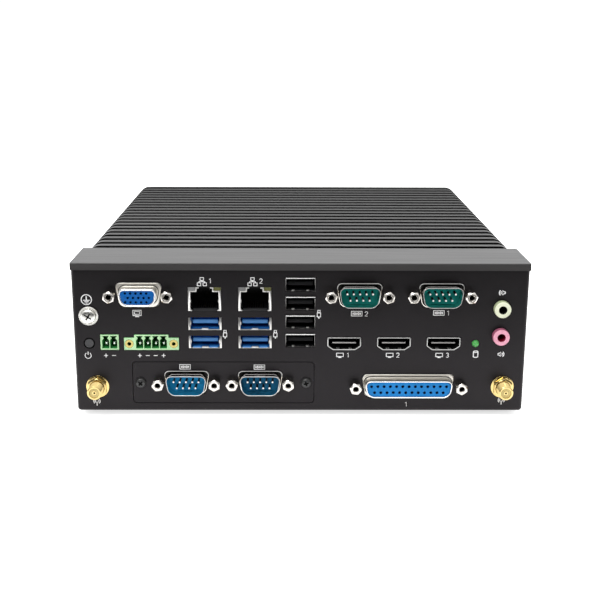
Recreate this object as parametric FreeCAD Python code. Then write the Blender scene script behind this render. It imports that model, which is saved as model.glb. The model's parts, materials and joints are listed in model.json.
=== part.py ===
import FreeCAD, Part
import math
import os

# Fanless edge computer: a finned aluminium cover on a folded housing, with all its ports on the front panel.
# Millimetres. Seen from the front, +X is right, +Y is back and +Z is up. The origin lies on the surface that
# the feet stand on, under the centre of the whole object.

# Housing
foot_height = 2.5
foot_radius = 6.0
foot_taper = 0.8
foot_inset = 20.0
panel_thickness = 1.5
panel_bend_radius = 1.6
panel_flange = 14.0
wall_thickness = 3.0
ledge_width = 10.0
ledge_thickness = 5.0
rear_thickness = 2.0
rear_corner_round = 0.8
bottom_thickness = 1.5
seam = 0.2
mount_pitch = 100.0
mount_hole_radius = 2.0

# Finned cover
port_headroom = 2.95
port_back_room = 3.8
lip_thickness = 3.2
lip_overhang = 0.9
land_edge_round = 0.5
step_wall = 4.0
base_thickness = 6.0
fin_count = 21
fin_thickness = 4.1
fin_gap = 4.6
fin_height = 14.0
fin_end_radius = 7.4
fin_tip_round = 0.4

# Fits
slip = 0.1
cutout_gap = 0.25

# Columns of ports, from left to right across the panel
button_side_gap = 0.8
button_to_switch = 9.0
switch_to_dc = 18.4
dc_to_lan = 23.7
lan_pitch = 22.0
lan_to_usb2 = 20.0
usb2_to_video = 19.4
video_pitch = 22.0
video_to_led = 14.2
led_to_audio = 10.85
audio_side_gap = 3.85
vga_side_gap = 5.15
com_side_gap = 3.1
com_gap = 4.95
module_com_gap = 1.8
ground_side_gap = 0.6
antenna_side_gap = 2.05
antenna_to_module = 56.05
gpio_to_antenna = 42.25

# Rows of ports: above the housing's underside, below the cover's land, or above the mainboard
board_row = 28.9
upper_row_drop = 11.3
module_row = 13.6
gpio_row = 12.0
antenna_row = 11.8
ground_row = 44.5
button_above_board = 2.95
led_above_board = 3.0
usb3_above_board = 3.7
usb3_pitch = 8.4
usb2_above_board = 3.95
usb2_pitch = 8.5
audio_in_above_board = 6.5
audio_pitch = 12.6

# D-shaped connectors
dsub_flank_deg = 10.0
dsub_corner = 2.7
dsub_wall = 0.4
dsub_reach = 5.2
dsub_flange_thickness = 0.8
dsub_flange_height = 12.5
dsub_flange_margin = 3.0
dsub_flange_corner = 1.0
dsub_cutout_height = 11.2
dsub_cutout_corner = 2.0
dsub_ring_gap = 0.15
dsub_ring_recess = 0.1
dsub_body_side = 0.6
dsub_body_height = 10.6
dsub_body_depth = 8.0
nine_screw_pitch = 24.99
nine_cutout_width = 21.0
nine_width = 18.5
nine_height = 9.1
dense_width = 17.4
wide_screw_pitch = 47.04
wide_cutout_width = 41.8
wide_width = 39.4
socket_height = 7.9
socket_groove_width = 0.3
socket_groove_depth = 0.35
plug_groove_width = 0.6
plug_groove_depth = 0.9
nine_columns = 5
wide_columns = 13
dense_columns = 5
contact_pitch = 2.77
contact_row_gap = 2.84
dense_contact_pitch = 2.29
dense_contact_row_gap = 1.98
contact_hole_radius = 0.52
contact_hole_depth = 2.0
socket_recess = 0.35
plug_floor_depth = 0.9
pin_radius = 0.5
pin_length = 4.8
pin_tip_chamfer = 0.25
contact_sides = 8
jackscrew_flats = 4.75
jackscrew_length = 5.0
jackscrew_stem_radius = 1.4
jackscrew_stem_length = 4.5
jackscrew_bore_radius = 1.15
jackscrew_bore_depth = 4.0

# Serial module
module_end_margin = 24.15
module_height = 19.6
module_corner = 1.9
module_gap = 0.3
module_screw_inset = 3.7
module_tab_overlap = 3.0
module_tab_height = 12.0
module_tab_thickness = 1.5
module_board_side = 2.0
module_board_depth = 42.0

# Network and USB stacks
can_wall = 0.3
can_cover_margin = 0.7
can_depth = 21.5
can_front_recess = 0.2
usb_mouth_width = 12.7
usb_mouth_height = 5.6
usb_window_side = 1.0
usb_window_below = 0.3
usb_cavity_depth = 9.5
usb_tongue_width = 11.1
usb_tongue_thickness = 1.9
usb_tongue_drop = 1.6
usb_tongue_length = 9.0
usb_tongue_chamfer = 0.4
usb2_side_wall = 0.9
usb2_can_depth = 17.5
usb2_lip_height = 0.8
usb2_lip_reach = 0.6
lan_floor = 1.4
lan_roof = 1.4
lan_mouth_width = 12.4
lan_mouth_height = 8.7
lan_key_width = 7.0
lan_key_height = 1.6
lan_latch_slot_width = 5.0
lan_corner_cut = 0.9
lan_cavity_depth = 13.0
lan_window_side = 1.1
lan_window_above = 0.65
lan_window_below = 0.0
lan_light_width = 3.05
lan_light_height = 1.5
lan_light_inset = 0.15
lan_light_length = 8.0
lan_contact_count = 8
lan_contact_pitch = 1.02
lan_contact_width = 0.45
lan_contact_rise = 1.1
lan_contact_length = 8.0

# Video sockets
video_width = 14.9
video_height = 5.9
video_wall = 0.45
video_depth = 11.0
video_taper_width = 2.6
video_taper_height = 1.8
video_corner = 0.7
video_inner_corner = 0.25
video_proud = 0.25
video_block_depth = 1.6
video_tongue_width = 10.6
video_tongue_thickness = 0.7
video_tongue_drop = 2.4
video_tongue_recess = 0.9

# Terminal headers
pole_pitch = 3.5
dc_poles = 4
switch_poles = 2
header_end_wall = 0.55
header_back_wall = 1.2
header_proud = 0.3
header_roof = 0.6
pocket_floor = 0.7
pocket_width = 3.1
pocket_height = 5.7
pocket_depth = 8.0
pocket_neck_width = 1.5
pocket_shoulder_height = 3.7
header_pin_side = 1.0
header_pin_length = 6.4
header_pin_chamfer = 0.25
ear_width = 4.5
ear_height = 5.6
ear_nut_radius = 1.85
ear_nut_bore_radius = 0.85
ear_nut_length = 5.0

# Audio jacks, drive light, power button and ground screw
audio_barrel_radius = 3.65
audio_bore_radius = 1.8
audio_bore_depth = 14.0
audio_proud = 3.0
audio_rim_chamfer = 0.35
audio_body_width = 9.6
audio_body_depth = 14.5
led_radius = 1.6
led_proud = 1.3
led_holder_side = 5.0
led_holder_depth = 6.0
button_radius = 2.0
button_hole_radius = 2.55
button_proud = 0.3
button_rim_chamfer = 0.3
button_collar_radius = 2.85
button_collar_thickness = 0.8
button_travel = 0.5
button_end_gap = 0.3
switch_side = 6.0
switch_depth = 3.5
plunger_radius = 1.5
plunger_length = 1.0
ground_rim_radius = 4.25
ground_rim_thickness = 0.9
ground_dome_radius = 3.4
ground_dome_height = 1.6
ground_crown_radius = 2.2
ground_shank_radius = 2.0
ground_shank_length = 9.0
ground_nut_flats = 7.0
ground_nut_height = 3.0

# Antenna jacks
antenna_reach = 9.5
antenna_thread_radius = 3.175
antenna_tip_chamfer = 0.5
antenna_socket_radius = 2.3
antenna_socket_depth = 2.0
antenna_contact_radius = 0.9
antenna_contact_bore_radius = 0.45
antenna_flange_radius = 4.6
antenna_flange_thickness = 2.0
antenna_tail_radius = 2.3
antenna_tail_length = 6.0
antenna_nut_flats = 8.0
antenna_nut_thickness = 2.4
antenna_nut_chamfer_deg = 30.0
antenna_washer_radius = 5.1
antenna_washer_thickness = 0.6

# Screws
screw_radius = 1.25
screw_bite = 4.0
screw_head_radius = 2.4
flat_head_depth = 1.2
pan_head_height = 1.7
pan_rim_height = 0.8
pan_crown_radius = 1.8
side_screw_rows = (22.0, 57.5)
bottom_screw_count = 3
cover_screw_count = 2

# Inside
board_side = 170.0
board_thickness = 1.6
board_setback = 1.0
standoff_flats = 5.5
standoff_span_x = 157.48
standoff_span_y = 145.0
standoff_front = 14.0
standoff_edge = 6.0
processor_side = 37.5
processor_height = 2.2
heat_block_side = 46.0
memory_length = 67.6
memory_depth = 30.0
memory_thickness = 1.2
memory_side_gap = 20.0
memory_lift = 4.0
memory_chip_count = 4
memory_chip_width = 11.0
memory_chip_depth = 18.0
memory_chip_height = 1.0
memory_bite = 3.0
memory_socket_depth = 6.5
memory_socket_height = 6.0
memory_rest_depth = 3.0
drive_length = 100.0
drive_width = 69.85
drive_height = 7.0
drive_corner = 2.0
wireless_width = 22.0
wireless_length = 20.0
wireless_height = 2.2
wireless_left = 30.0
wireless_setback = 95.0
lead_radius = 0.6
lead_sides = 8
lead_stub = 2.0
lead_wall_gap = 1.0
lead_jog_radius = 4.0
lead_bend_radius = 9.0
lead_spacing = 8.0

# Heights of the board-mounted stacks
z_under = foot_height
z_floor = z_under + bottom_thickness
z_board = z_under + board_row
z_usb3 = [z_board + usb3_above_board + port * usb3_pitch for port in range(2)]
z_stack_split = z_usb3[1] + usb3_pitch / 2
z_lan_low = z_stack_split + lan_floor
z_lan_high = z_lan_low + lan_mouth_height
z_lan_key = z_lan_high + lan_key_height
z_can_top = z_lan_key + lan_roof
z_usb2 = [z_board + usb2_above_board + port * usb2_pitch for port in range(4)]
z_usb2_top = z_usb2[-1] + usb_mouth_height / 2 + usb2_lip_height + can_wall
z_audio = [z_board + audio_in_above_board + level * audio_pitch for level in range(2)]
z_button = z_board + button_above_board
z_led = z_board + led_above_board
z_video = z_board + video_height / 2

# Heights of the housing and of the rows fixed to its panel
z_lip = max(z_usb2_top, z_can_top) + port_headroom
z_top = z_lip + lip_thickness
z_base_top = z_top - fin_height
z_base = z_base_top - base_thickness
z_upper = z_lip - upper_row_drop
z_module = z_under + module_row
z_gpio = z_under + gpio_row
z_antenna = z_under + antenna_row
z_ground = z_under + ground_row

# Depths
fin_pitch = fin_thickness + fin_gap
land_depth = lip_overhang + panel_thickness + can_depth + port_back_room + step_wall
cover_depth = land_depth + fin_count * fin_pitch
y_face = (antenna_reach + lip_overhang - cover_depth) / 2
y_back = y_face + panel_thickness
y_mouth = y_face + can_front_recess
y_flange_end = y_face + panel_flange
y_lip = y_face - lip_overhang
y_fins = y_lip + land_depth
y_step = y_fins - step_wall
y_rear = y_lip + cover_depth
y_rear_inner = y_rear - rear_thickness
y_middle = (y_flange_end + y_rear_inner) / 2
y_board = y_back + board_setback
y_processor = y_board + board_side / 2
y_wireless = y_board + wireless_setback
y_socket_front = y_face - dsub_reach + socket_recess
y_plug_floor = y_face + plug_floor_depth
y_header = y_face - header_proud

# Widths that places depend on
nine_flange_width = nine_screw_pitch + 2 * dsub_flange_margin
lan_window_width = lan_mouth_width + 2 * lan_window_side
can_width = lan_window_width + 2 * can_cover_margin
usb2_can_width = usb_mouth_width + 2 * usb2_side_wall
module_com_pitch = nine_flange_width + module_com_gap
module_width = module_com_pitch + 2 * module_end_margin
header_height = pocket_floor + pocket_height + header_roof
board_width = max(board_side, standoff_span_x + 2 * standoff_edge)
board_depth = max(board_side, standoff_front + standoff_span_y + standoff_edge)

# Columns measured from the panel's left edge
column_button = wall_thickness + button_side_gap + max(button_collar_radius, switch_side / 2)
column_switch = column_button + button_to_switch
column_dc = column_switch + switch_to_dc
column_lan = column_dc + dc_to_lan
column_usb2 = column_lan + lan_pitch + lan_to_usb2
column_video = column_usb2 + usb2_to_video
column_led = column_video + 2 * video_pitch + video_to_led
column_audio = column_led + led_to_audio
panel_width = column_audio + audio_body_width / 2 + audio_side_gap + wall_thickness
half_width = panel_width / 2

# The same columns from the middle of the panel, and the columns of the other rows
x_button = column_button - half_width
x_switch = column_switch - half_width
x_dc = column_dc - half_width
x_lan = [column_lan + i * lan_pitch - half_width for i in range(2)]
x_usb2 = column_usb2 - half_width
x_video = [column_video + i * video_pitch - half_width for i in range(3)]
x_led = column_led - half_width
x_audio = column_audio - half_width
x_vga = x_lan[0] - can_width / 2 - vga_side_gap - nine_flange_width / 2
x_com_2 = x_usb2 + usb2_can_width / 2 + com_side_gap + nine_flange_width / 2
x_com_1 = x_com_2 + nine_flange_width + com_gap
x_ground = wall_thickness + ground_side_gap + ground_nut_flats / 2 - half_width
x_antenna = half_width - wall_thickness - antenna_side_gap - antenna_flange_radius
x_module = antenna_to_module - x_antenna
x_gpio = x_antenna - gpio_to_antenna
x_wireless = -wireless_left
x_ledge = half_width - ledge_width
x_ledge_middle = (x_ledge + half_width - wall_thickness) / 2

# Centres of the nine-way plugs, in the order of their numbers
plugs = [
    (x_com_1, z_upper),
    (x_com_2, z_upper),
    (x_module - module_com_pitch / 2, z_module),
    (x_module + module_com_pitch / 2, z_module),
]

# How far a cutting tool runs past what it cuts
past = 1.0


# Plain shapes
def vector(x, y, z):
    return FreeCAD.Vector(x, y, z)


def box(x0, x1, y0, y1, z0, z1):
    return Part.makeBox(x1 - x0, y1 - y0, z1 - z0, vector(x0, y0, z0))


def rod(x, z, radius, y0, y1):
    """Round bar along Y."""
    return Part.makeCylinder(radius, y1 - y0, vector(x, y0, z), vector(0, 1, 0))


def joined(*shapes):
    return shapes[0].fuse(list(shapes[1:])).removeSplitter()


def corner_arc(before, corner, after, radius):
    """Start, middle and end of the arc that rounds a corner between two neighbours."""
    back = (before - corner).normalize()
    ahead = (after - corner).normalize()
    half_angle = back.getAngle(ahead) / 2
    reach = radius / math.tan(half_angle)
    middle = corner + (back + ahead).normalize() * (radius / math.sin(half_angle) - radius)
    return corner + back * reach, middle, corner + ahead * reach


def rounded_wire(corners, radii, closed):
    """Wire through the corners, each rounded to its radius; zero leaves a corner sharp."""
    count = len(corners)
    turns = []
    for i, radius in enumerate(radii):
        if radius == 0:
            turns.append((corners[i], None, corners[i]))
        else:
            turns.append(corner_arc(corners[i - 1], corners[i], corners[(i + 1) % count], radius))
    edges = []
    for i, (start, middle, end) in enumerate(turns):
        if middle is not None:
            edges.append(Part.Arc(start, middle, end).toShape())
        if closed or i + 1 < count:
            edges.append(Part.LineSegment(end, turns[(i + 1) % count][0]).toShape())
    return Part.Wire(edges)


def upright(points, radius=0.0):
    """Closed outline on the XZ plane with every corner rounded alike."""
    return rounded_wire([vector(x, 0, z) for x, z in points], [radius] * len(points), True)


def bar(wire, y0, y1):
    """Upright outline carried along Y."""
    solid = Part.Face(wire).extrude(vector(0, y1 - y0, 0))
    solid.translate(vector(0, y0, 0))
    return solid


def rectangle(x, z, width, height):
    """Corners of an upright rectangle about its centre."""
    x0, x1 = x - width / 2, x + width / 2
    z0, z1 = z - height / 2, z + height / 2
    return [(x0, z0), (x1, z0), (x1, z1), (x0, z1)]


def polygon(x, z, sides, flats):
    """Corners of a regular polygon of the given width across its flats."""
    radius = flats / 2 / math.cos(math.pi / sides)
    turns = [i * 2 * math.pi / sides for i in range(sides)]
    return [(x + radius * math.sin(turn), z + radius * math.cos(turn)) for turn in turns]


def hexagon(x, z, flats):
    """Corners of a hexagon that stands on a corner."""
    return polygon(x, z, 6, flats)


def d_shape(x, z, width, height, corner, grow=0.0):
    """D-shaped outline, its flanks leaning in towards the bottom, grown or shrunk evenly all round."""
    flank = math.radians(dsub_flank_deg)
    half = width / 2 + grow * (1 + math.sin(flank)) / math.cos(flank)
    rise = height / 2 + grow
    foot = half - 2 * rise * math.tan(flank)
    points = [(x - foot, z - rise), (x + foot, z - rise), (x + half, z + rise), (x - half, z + rise)]
    return upright(points, corner + grow)


def turned(profile, base, axis):
    """Solid turned about an axis from points of (distance along it, radius)."""
    points = [vector(radius, 0, along) for along, radius in profile]
    face = Part.Face(Part.makePolygon(points + points[:1]))
    solid = face.revolve(vector(0, 0, 0), vector(0, 0, 1), 360)
    solid.Placement = FreeCAD.Placement(vector(*base), FreeCAD.Rotation(vector(0, 0, 1), vector(*axis)))
    return solid


def upright_edges(solid):
    """Straight edges along Z."""
    return [e for e in solid.Edges if max(e.BoundBox.XLength, e.BoundBox.YLength) < slip]


def front_rim(solid):
    """Edges that lie in the solid's frontmost plane."""
    front = solid.BoundBox.YMin
    return [e for e in solid.Edges if e.BoundBox.YMax - front < slip]


# Screws, each with its head at the base and its shank along the axis; with spare room, the hole for one
def flat_screw(base, axis, plate, spare=0.0):
    """Countersunk screw flush with the outside of the plate that it holds."""
    shank = screw_radius + spare
    length = plate + screw_bite + spare
    profile = [(0, 0), (0, screw_head_radius + spare), (flat_head_depth, shank), (length, shank), (length, 0)]
    return turned(profile, base, axis)


def pan_shank(base, axis, plate, spare):
    length = plate + screw_bite + spare
    shank = screw_radius + spare
    return turned([(0, 0), (0, shank), (length, shank), (length, 0)], base, axis)


def pan_screw(base, axis, plate):
    """Pan-head screw whose head seats on the plate that it holds."""
    head = [
        (-pan_head_height, 0),
        (-pan_head_height, pan_crown_radius),
        (-pan_rim_height, screw_head_radius),
        (0, screw_head_radius),
        (0, 0),
    ]
    return joined(turned(head, base, axis), pan_shank(base, axis, plate, 0.0))


def spread(start, end, count):
    """Evenly spaced places from start to end."""
    return [start + (end - start) * i / (count - 1) for i in range(count)]


def side_screw_seats(side):
    y = (y_back + y_flange_end) / 2
    seats = [(side * half_width, y, z_under + row) for row in side_screw_rows]
    return [(seat, (-side, 0, 0), panel_thickness) for seat in seats]


def rear_screw_seats(side):
    heights = (z_floor + ledge_thickness / 2, z_base - ledge_thickness / 2)
    return [((side * x_ledge_middle, y_rear, z), (0, -1, 0), rear_thickness) for z in heights]


def bottom_screw_seats(side):
    ys = spread(y_flange_end + ledge_width, y_rear_inner - ledge_width, bottom_screw_count)
    return [((side * x_ledge_middle, y, z_under), (0, 0, 1), bottom_thickness) for y in ys]


def cover_screw_seats(side):
    ys = spread(y_fins + ledge_width, y_rear_inner - 2 * ledge_width, cover_screw_count)
    return [((side * x_ledge_middle, y, z_base - ledge_thickness), (0, 0, 1), ledge_thickness) for y in ys]


def module_screw_seats():
    reach = module_width / 2 - module_screw_inset
    grip = panel_thickness + module_tab_thickness - screw_bite / 2
    return [((x_module + side * reach, y_face, z_module), (0, 1, 0), grip) for side in (-1, 1)]


def board_screw_seats():
    return [((x, y, z_board), (0, 0, -1), board_thickness) for x, y in standoff_places()]


def housing_screws():
    seats = []
    for side in (-1, 1):
        seats += side_screw_seats(side) + rear_screw_seats(side) + bottom_screw_seats(side)
    return [flat_screw(*seat) for seat in seats]


def pan_screws():
    seats = module_screw_seats() + board_screw_seats() + cover_screw_seats(-1) + cover_screw_seats(1)
    return [pan_screw(*seat) for seat in seats]


# Housing
def heatsink_cover():
    """Extrusion along X: flat land over the ports, step down to the base, and fins with rounded ends."""
    section = [(y_lip, z_lip), (y_lip, z_top), (y_fins, z_top)]
    radii = [0, land_edge_round, land_edge_round]
    for i in range(fin_count):
        y_gap = y_fins + i * fin_pitch
        y_fin, y_next = y_gap + fin_gap, y_gap + fin_pitch
        section += [(y_gap, z_base_top), (y_fin, z_base_top), (y_fin, z_top), (y_next, z_top)]
        radii += [0, 0, fin_tip_round, fin_tip_round]
    section += [(y_rear, z_base), (y_step, z_base), (y_step, z_lip)]
    radii += [0, 0, 0]
    wire = rounded_wire([vector(-half_width, y, z) for y, z in section], radii, True)
    solid = Part.Face(wire).extrude(vector(panel_width, 0, 0))
    cuts = [fin_end_cut(side) for side in (-1, 1)]
    for seat in cover_screw_seats(-1) + cover_screw_seats(1):
        cuts.append(pan_shank(*seat, slip))
    return solid.cut(cuts)


def fin_end_cut(side):
    """What the rounding takes off the fins' upper corners at one end."""
    x_round, z_round = side * (half_width - fin_end_radius), z_top - fin_end_radius
    x0, x1 = sorted((x_round, side * (half_width + past)))
    corner = box(x0, x1, y_fins, y_rear + past, z_round, z_top + past)
    return corner.cut(rod(x_round, z_round, fin_end_radius, y_fins, y_rear + past))


def front_panel():
    """Folded pan: the face with its cut-outs, side and bottom flanges, and tabs behind the module's ends."""
    pan = box(-half_width, half_width, y_face, y_flange_end, z_under, z_lip)
    bends = [e for e in pan.Edges if e.BoundBox.ZMin < z_under + slip and on_pan_bend(e.BoundBox)]
    pan = pan.makeFillet(panel_bend_radius, bends)
    x_inner = half_width - panel_thickness
    z_inner = z_under + panel_thickness
    cuts = [box(-x_inner, x_inner, y_back, y_flange_end + past, z_inner, z_lip + past)]
    cuts += panel_cutouts()
    for side in (-1, 1):
        cuts += [flat_screw(*seat, slip) for seat in side_screw_seats(side)]
    tabs = [module_tab(side) for side in (-1, 1)]
    return joined(pan.cut(cuts), *tabs).cut([pan_shank(*seat, slip) for seat in module_screw_seats()])


def on_pan_bend(bounds):
    """True for the pan's edges along its front face and along the sides of its bottom."""
    flat_bottom = bounds.ZLength < slip
    along_front = bounds.YMax < y_face + slip
    along_side = bounds.YLength > slip
    return along_front or (flat_bottom and along_side)


def module_tab(side):
    """Tab behind the panel that reaches into one end of the module's window and takes its screw."""
    x_outer = x_module + side * (module_width / 2 + module_tab_overlap)
    x_inner = x_module + side * (module_com_pitch / 2 + nine_flange_width / 2 + seam)
    x0, x1 = sorted((x_outer, x_inner))
    z0, z1 = z_module - module_tab_height / 2, z_module + module_tab_height / 2
    return box(x0, x1, y_back, y_back + module_tab_thickness, z0, z1)


def panel_cutouts():
    """Openings through the panel's face, one for each port that it does not carry on the module."""
    y0, y1 = y_face - past, y_back + past
    outlines = dsub_cutouts(x_vga, z_upper, nine_cutout_width, nine_screw_pitch)
    for x, z in plugs[:2]:
        outlines += dsub_cutouts(x, z, nine_cutout_width, nine_screw_pitch)
    outlines += dsub_cutouts(x_gpio, z_gpio, wide_cutout_width, wide_screw_pitch)
    outlines.append(upright(rectangle(x_module, z_module, module_width, module_height), module_corner))
    outlines += [upright(lan_window(x)) for x in x_lan]
    outlines += [upright(usb3_window(x, z)) for x in x_lan for z in z_usb3]
    outlines += [upright(usb2_window(z)) for z in z_usb2]
    outlines += [video_outline(x, cutout_gap) for x in x_video]
    outlines.append(upright(header_outline(x_switch, switch_poles, cutout_gap)))
    outlines.append(upright(eared_outline(x_dc, dc_poles, cutout_gap)))
    cuts = [bar(wire, y0, y1) for wire in outlines]
    cuts += [rod(x_audio, z, audio_barrel_radius + slip, y0, y1) for z in z_audio]
    cuts.append(rod(x_led, z_led, led_radius + slip, y0, y1))
    cuts.append(rod(x_button, z_button, button_hole_radius, y0, y1))
    cuts.append(rod(x_ground, z_ground, ground_shank_radius + slip, y0, y1))
    cuts += [rod(side * x_antenna, z_antenna, antenna_thread_radius + slip, y0, y1) for side in (-1, 1)]
    return cuts


def side_wall(side):
    """Channel rail: a web with ledges along top and bottom, taller under the land, let in for the pan."""
    x_inner = half_width - wall_thickness
    web = box(x_inner, half_width, y_back, y_rear_inner, z_floor, z_base)
    post = box(x_inner, half_width, y_back, y_step, z_base, z_lip)
    upper = box(x_ledge, x_inner, y_step, y_rear_inner, z_base - ledge_thickness, z_base)
    lower = box(x_ledge, x_inner, y_flange_end + seam, y_rear_inner, z_floor, z_floor + ledge_thickness)
    x_let_in = half_width - panel_thickness
    y_let_in = y_flange_end + seam
    let_in = box(x_let_in, half_width + past, y_back - past, y_let_in, z_floor - past, z_lip + past)
    z_pan = z_under + panel_thickness
    over_pan = box(x_ledge, half_width, y_back - past, y_let_in, z_under, max(z_pan, z_floor))
    rail = joined(web, post, upper, lower).cut([let_in, over_pan])
    if side < 0:
        rail = rail.mirror(vector(0, 0, 0), vector(1, 0, 0))
    flat_seats = side_screw_seats(side) + rear_screw_seats(side) + bottom_screw_seats(side)
    holes = [flat_screw(*seat, slip) for seat in flat_seats]
    holes += [pan_shank(*seat, slip) for seat in cover_screw_seats(side)]
    return rail.cut(holes)


def rear_panel():
    plate = box(-half_width, half_width, y_rear_inner, y_rear, z_under, z_base)
    corners = [e for e in upright_edges(plate) if e.BoundBox.YMin > y_rear - slip]
    plate = plate.makeFillet(rear_corner_round, corners)
    return plate.cut([flat_screw(*seat, slip) for side in (-1, 1) for seat in rear_screw_seats(side)])


def bottom_cover():
    """Floor plate with its screws and the square of holes for a wall or arm mount."""
    plate = box(-half_width, half_width, y_flange_end + seam, y_rear_inner, z_under, z_floor)
    holes = [flat_screw(*seat, slip) for side in (-1, 1) for seat in bottom_screw_seats(side)]
    for x in (-mount_pitch / 2, mount_pitch / 2):
        for y in (y_middle - mount_pitch / 2, y_middle + mount_pitch / 2):
            base = vector(x, y, z_under - past)
            holes.append(Part.makeCylinder(mount_hole_radius, bottom_thickness + 2 * past, base))
    return plate.cut(holes)


def rubber_feet():
    x = half_width - foot_inset
    ys = (y_flange_end + foot_inset, y_rear_inner - foot_inset)
    places = [vector(side * x, y, 0) for side in (-1, 1) for y in ys]
    return [Part.makeCone(foot_radius - foot_taper, foot_radius, foot_height, place) for place in places]


# D-shaped connectors
def screw_places(x, screw_pitch):
    return [x - screw_pitch / 2, x + screw_pitch / 2]


def dsub_cutouts(x, z, width, screw_pitch):
    """Outlines of the panel's opening round a D-shaped shell and of its two screw holes."""
    outlines = [d_shape(x, z, width, dsub_cutout_height, dsub_cutout_corner)]
    for screw_x in screw_places(x, screw_pitch):
        hole = Part.makeCircle(jackscrew_stem_radius + slip, vector(screw_x, 0, z), vector(0, 1, 0))
        outlines.append(Part.Wire(hole))
    return outlines


def dsub_shell(x, z, size, screw_pitch, cutout_width, groove):
    """Drawn steel shell: a flange behind the panel, a ring in its cut-out and a D-shaped tube in front."""
    y_front, y_ring, y_end = y_face - dsub_reach, y_face + dsub_ring_recess, y_back + dsub_flange_thickness
    corners = rectangle(x, z, screw_pitch + 2 * dsub_flange_margin, dsub_flange_height)
    flange = bar(upright(corners, dsub_flange_corner), y_back, y_end)
    ring = d_shape(x, z, cutout_width, dsub_cutout_height, dsub_cutout_corner, -dsub_ring_gap)
    groove_width, groove_depth = groove
    fold = bar(d_shape(x, z, *size, dsub_corner, groove_width), y_ring - past, y_ring + groove_depth)
    ring = bar(ring, y_ring, y_end).cut(fold)
    tube = bar(d_shape(x, z, *size, dsub_corner), y_front, y_end)
    hollow = d_shape(x, z, *size, dsub_corner, -dsub_wall)
    cuts = [bar(hollow, y_front - past, y_end + past)]
    for screw_x in screw_places(x, screw_pitch):
        cuts.append(rod(screw_x, z, jackscrew_stem_radius + slip, y_back - past, y_end + past))
    return joined(flange, ring, tube).cut(cuts)


def socket_shell(x, z, width, screw_pitch, cutout_width):
    """Shell of a female connector: a broad ring, with a fine fold where the tube rises from it."""
    groove = (socket_groove_width, socket_groove_depth)
    return dsub_shell(x, z, (width, socket_height), screw_pitch, cutout_width, groove)


def plug_shell(x, z):
    """Shell of a nine-way plug: a narrow bead, with a groove between it and the tube."""
    groove = (plug_groove_width, plug_groove_depth)
    return dsub_shell(x, z, (nine_width, nine_height), nine_screw_pitch, nine_cutout_width, groove)


def dsub_insulator(x, z, width, height, y_front):
    """Moulded block that fills the shell, with a wider body behind the flange."""
    y_body = y_back + dsub_flange_thickness
    nose = d_shape(x, z, width, height, dsub_corner, -dsub_wall - slip)
    body = upright(rectangle(x, z, width + 2 * dsub_body_side, dsub_body_height))
    return joined(bar(nose, y_front, y_body), bar(body, y_body, y_body + dsub_body_depth))


def socket_insulator(x, z, width, contacts):
    """Insulator of a female connector, with a hole in its front for each contact."""
    block = dsub_insulator(x, z, width, socket_height, y_socket_front)
    y0, y1 = y_socket_front - past, y_socket_front + contact_hole_depth
    holes = [upright(polygon(*contact, contact_sides, 2 * contact_hole_radius)) for contact in contacts]
    return block.cut([bar(hole, y0, y1) for hole in holes])


def contact_row(x, z, count, pitch):
    return [(x + (i - (count - 1) / 2) * pitch, z) for i in range(count)]


def staggered_contacts(x, z, columns):
    """Two rows of contacts, the upper one a contact longer than the lower."""
    above = contact_row(x, z + contact_row_gap / 2, columns, contact_pitch)
    below = contact_row(x, z - contact_row_gap / 2, columns - 1, contact_pitch)
    return above + below


def dense_contacts(x, z):
    """Three equal rows, the middle one half a pitch to one side."""
    shift = dense_contact_pitch / 4
    places = []
    for row, side in ((1, -1), (0, 1), (-1, -1)):
        row_z = z + row * dense_contact_row_gap
        places += contact_row(x + side * shift, row_z, dense_columns, dense_contact_pitch)
    return places


def serial_pins():
    """Contact pins, faceted and with chamfered tips, standing on the floor of each nine-way plug."""
    y_tip = y_plug_floor - pin_length
    pins = []
    for x, z in [place for x, z in plugs for place in staggered_contacts(x, z, nine_columns)]:
        pin = bar(upright(polygon(x, z, contact_sides, 2 * pin_radius)), y_tip, y_plug_floor)
        pins.append(pin.makeChamfer(pin_tip_chamfer, front_rim(pin)))
    return pins


def jackscrew(x, z):
    """Hexagonal post on the panel, with a threaded stem behind it and a threaded bore in its face."""
    y_tip = y_face - jackscrew_length
    post = bar(upright(hexagon(x, z, jackscrew_flats)), y_tip, y_face)
    stem = rod(x, z, jackscrew_stem_radius, y_face, y_face + jackscrew_stem_length)
    bore = rod(x, z, jackscrew_bore_radius, y_tip - past, y_tip + jackscrew_bore_depth)
    return joined(post, stem).cut(bore)


def jackscrews():
    centres = [(x_vga, z_upper, nine_screw_pitch), (x_gpio, z_gpio, wide_screw_pitch)]
    centres += [(x, z, nine_screw_pitch) for x, z in plugs]
    return [jackscrew(screw_x, z) for x, z, pitch in centres for screw_x in screw_places(x, pitch)]


# Serial module
def module_plate():
    """Small plate flush in the panel's window, seated on the tabs behind it."""
    corners = rectangle(x_module, z_module, module_width - 2 * module_gap, module_height - 2 * module_gap)
    plate = bar(upright(corners, module_corner - module_gap), y_face, y_back)
    outlines = []
    for x, z in plugs[2:]:
        outlines += dsub_cutouts(x, z, nine_cutout_width, nine_screw_pitch)
    cuts = [bar(wire, y_face - past, y_back + past) for wire in outlines]
    cuts += [pan_shank(*seat, slip) for seat in module_screw_seats()]
    return plate.cut(cuts)


def module_board():
    """Circuit board under the bodies of the module's two plugs."""
    reach = module_com_pitch / 2 + nine_screw_pitch / 2 + module_board_side
    z1 = z_module - dsub_body_height / 2
    y0 = y_back + dsub_flange_thickness
    return box(x_module - reach, x_module + reach, y0, y0 + module_board_depth, z1 - board_thickness, z1)


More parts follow.
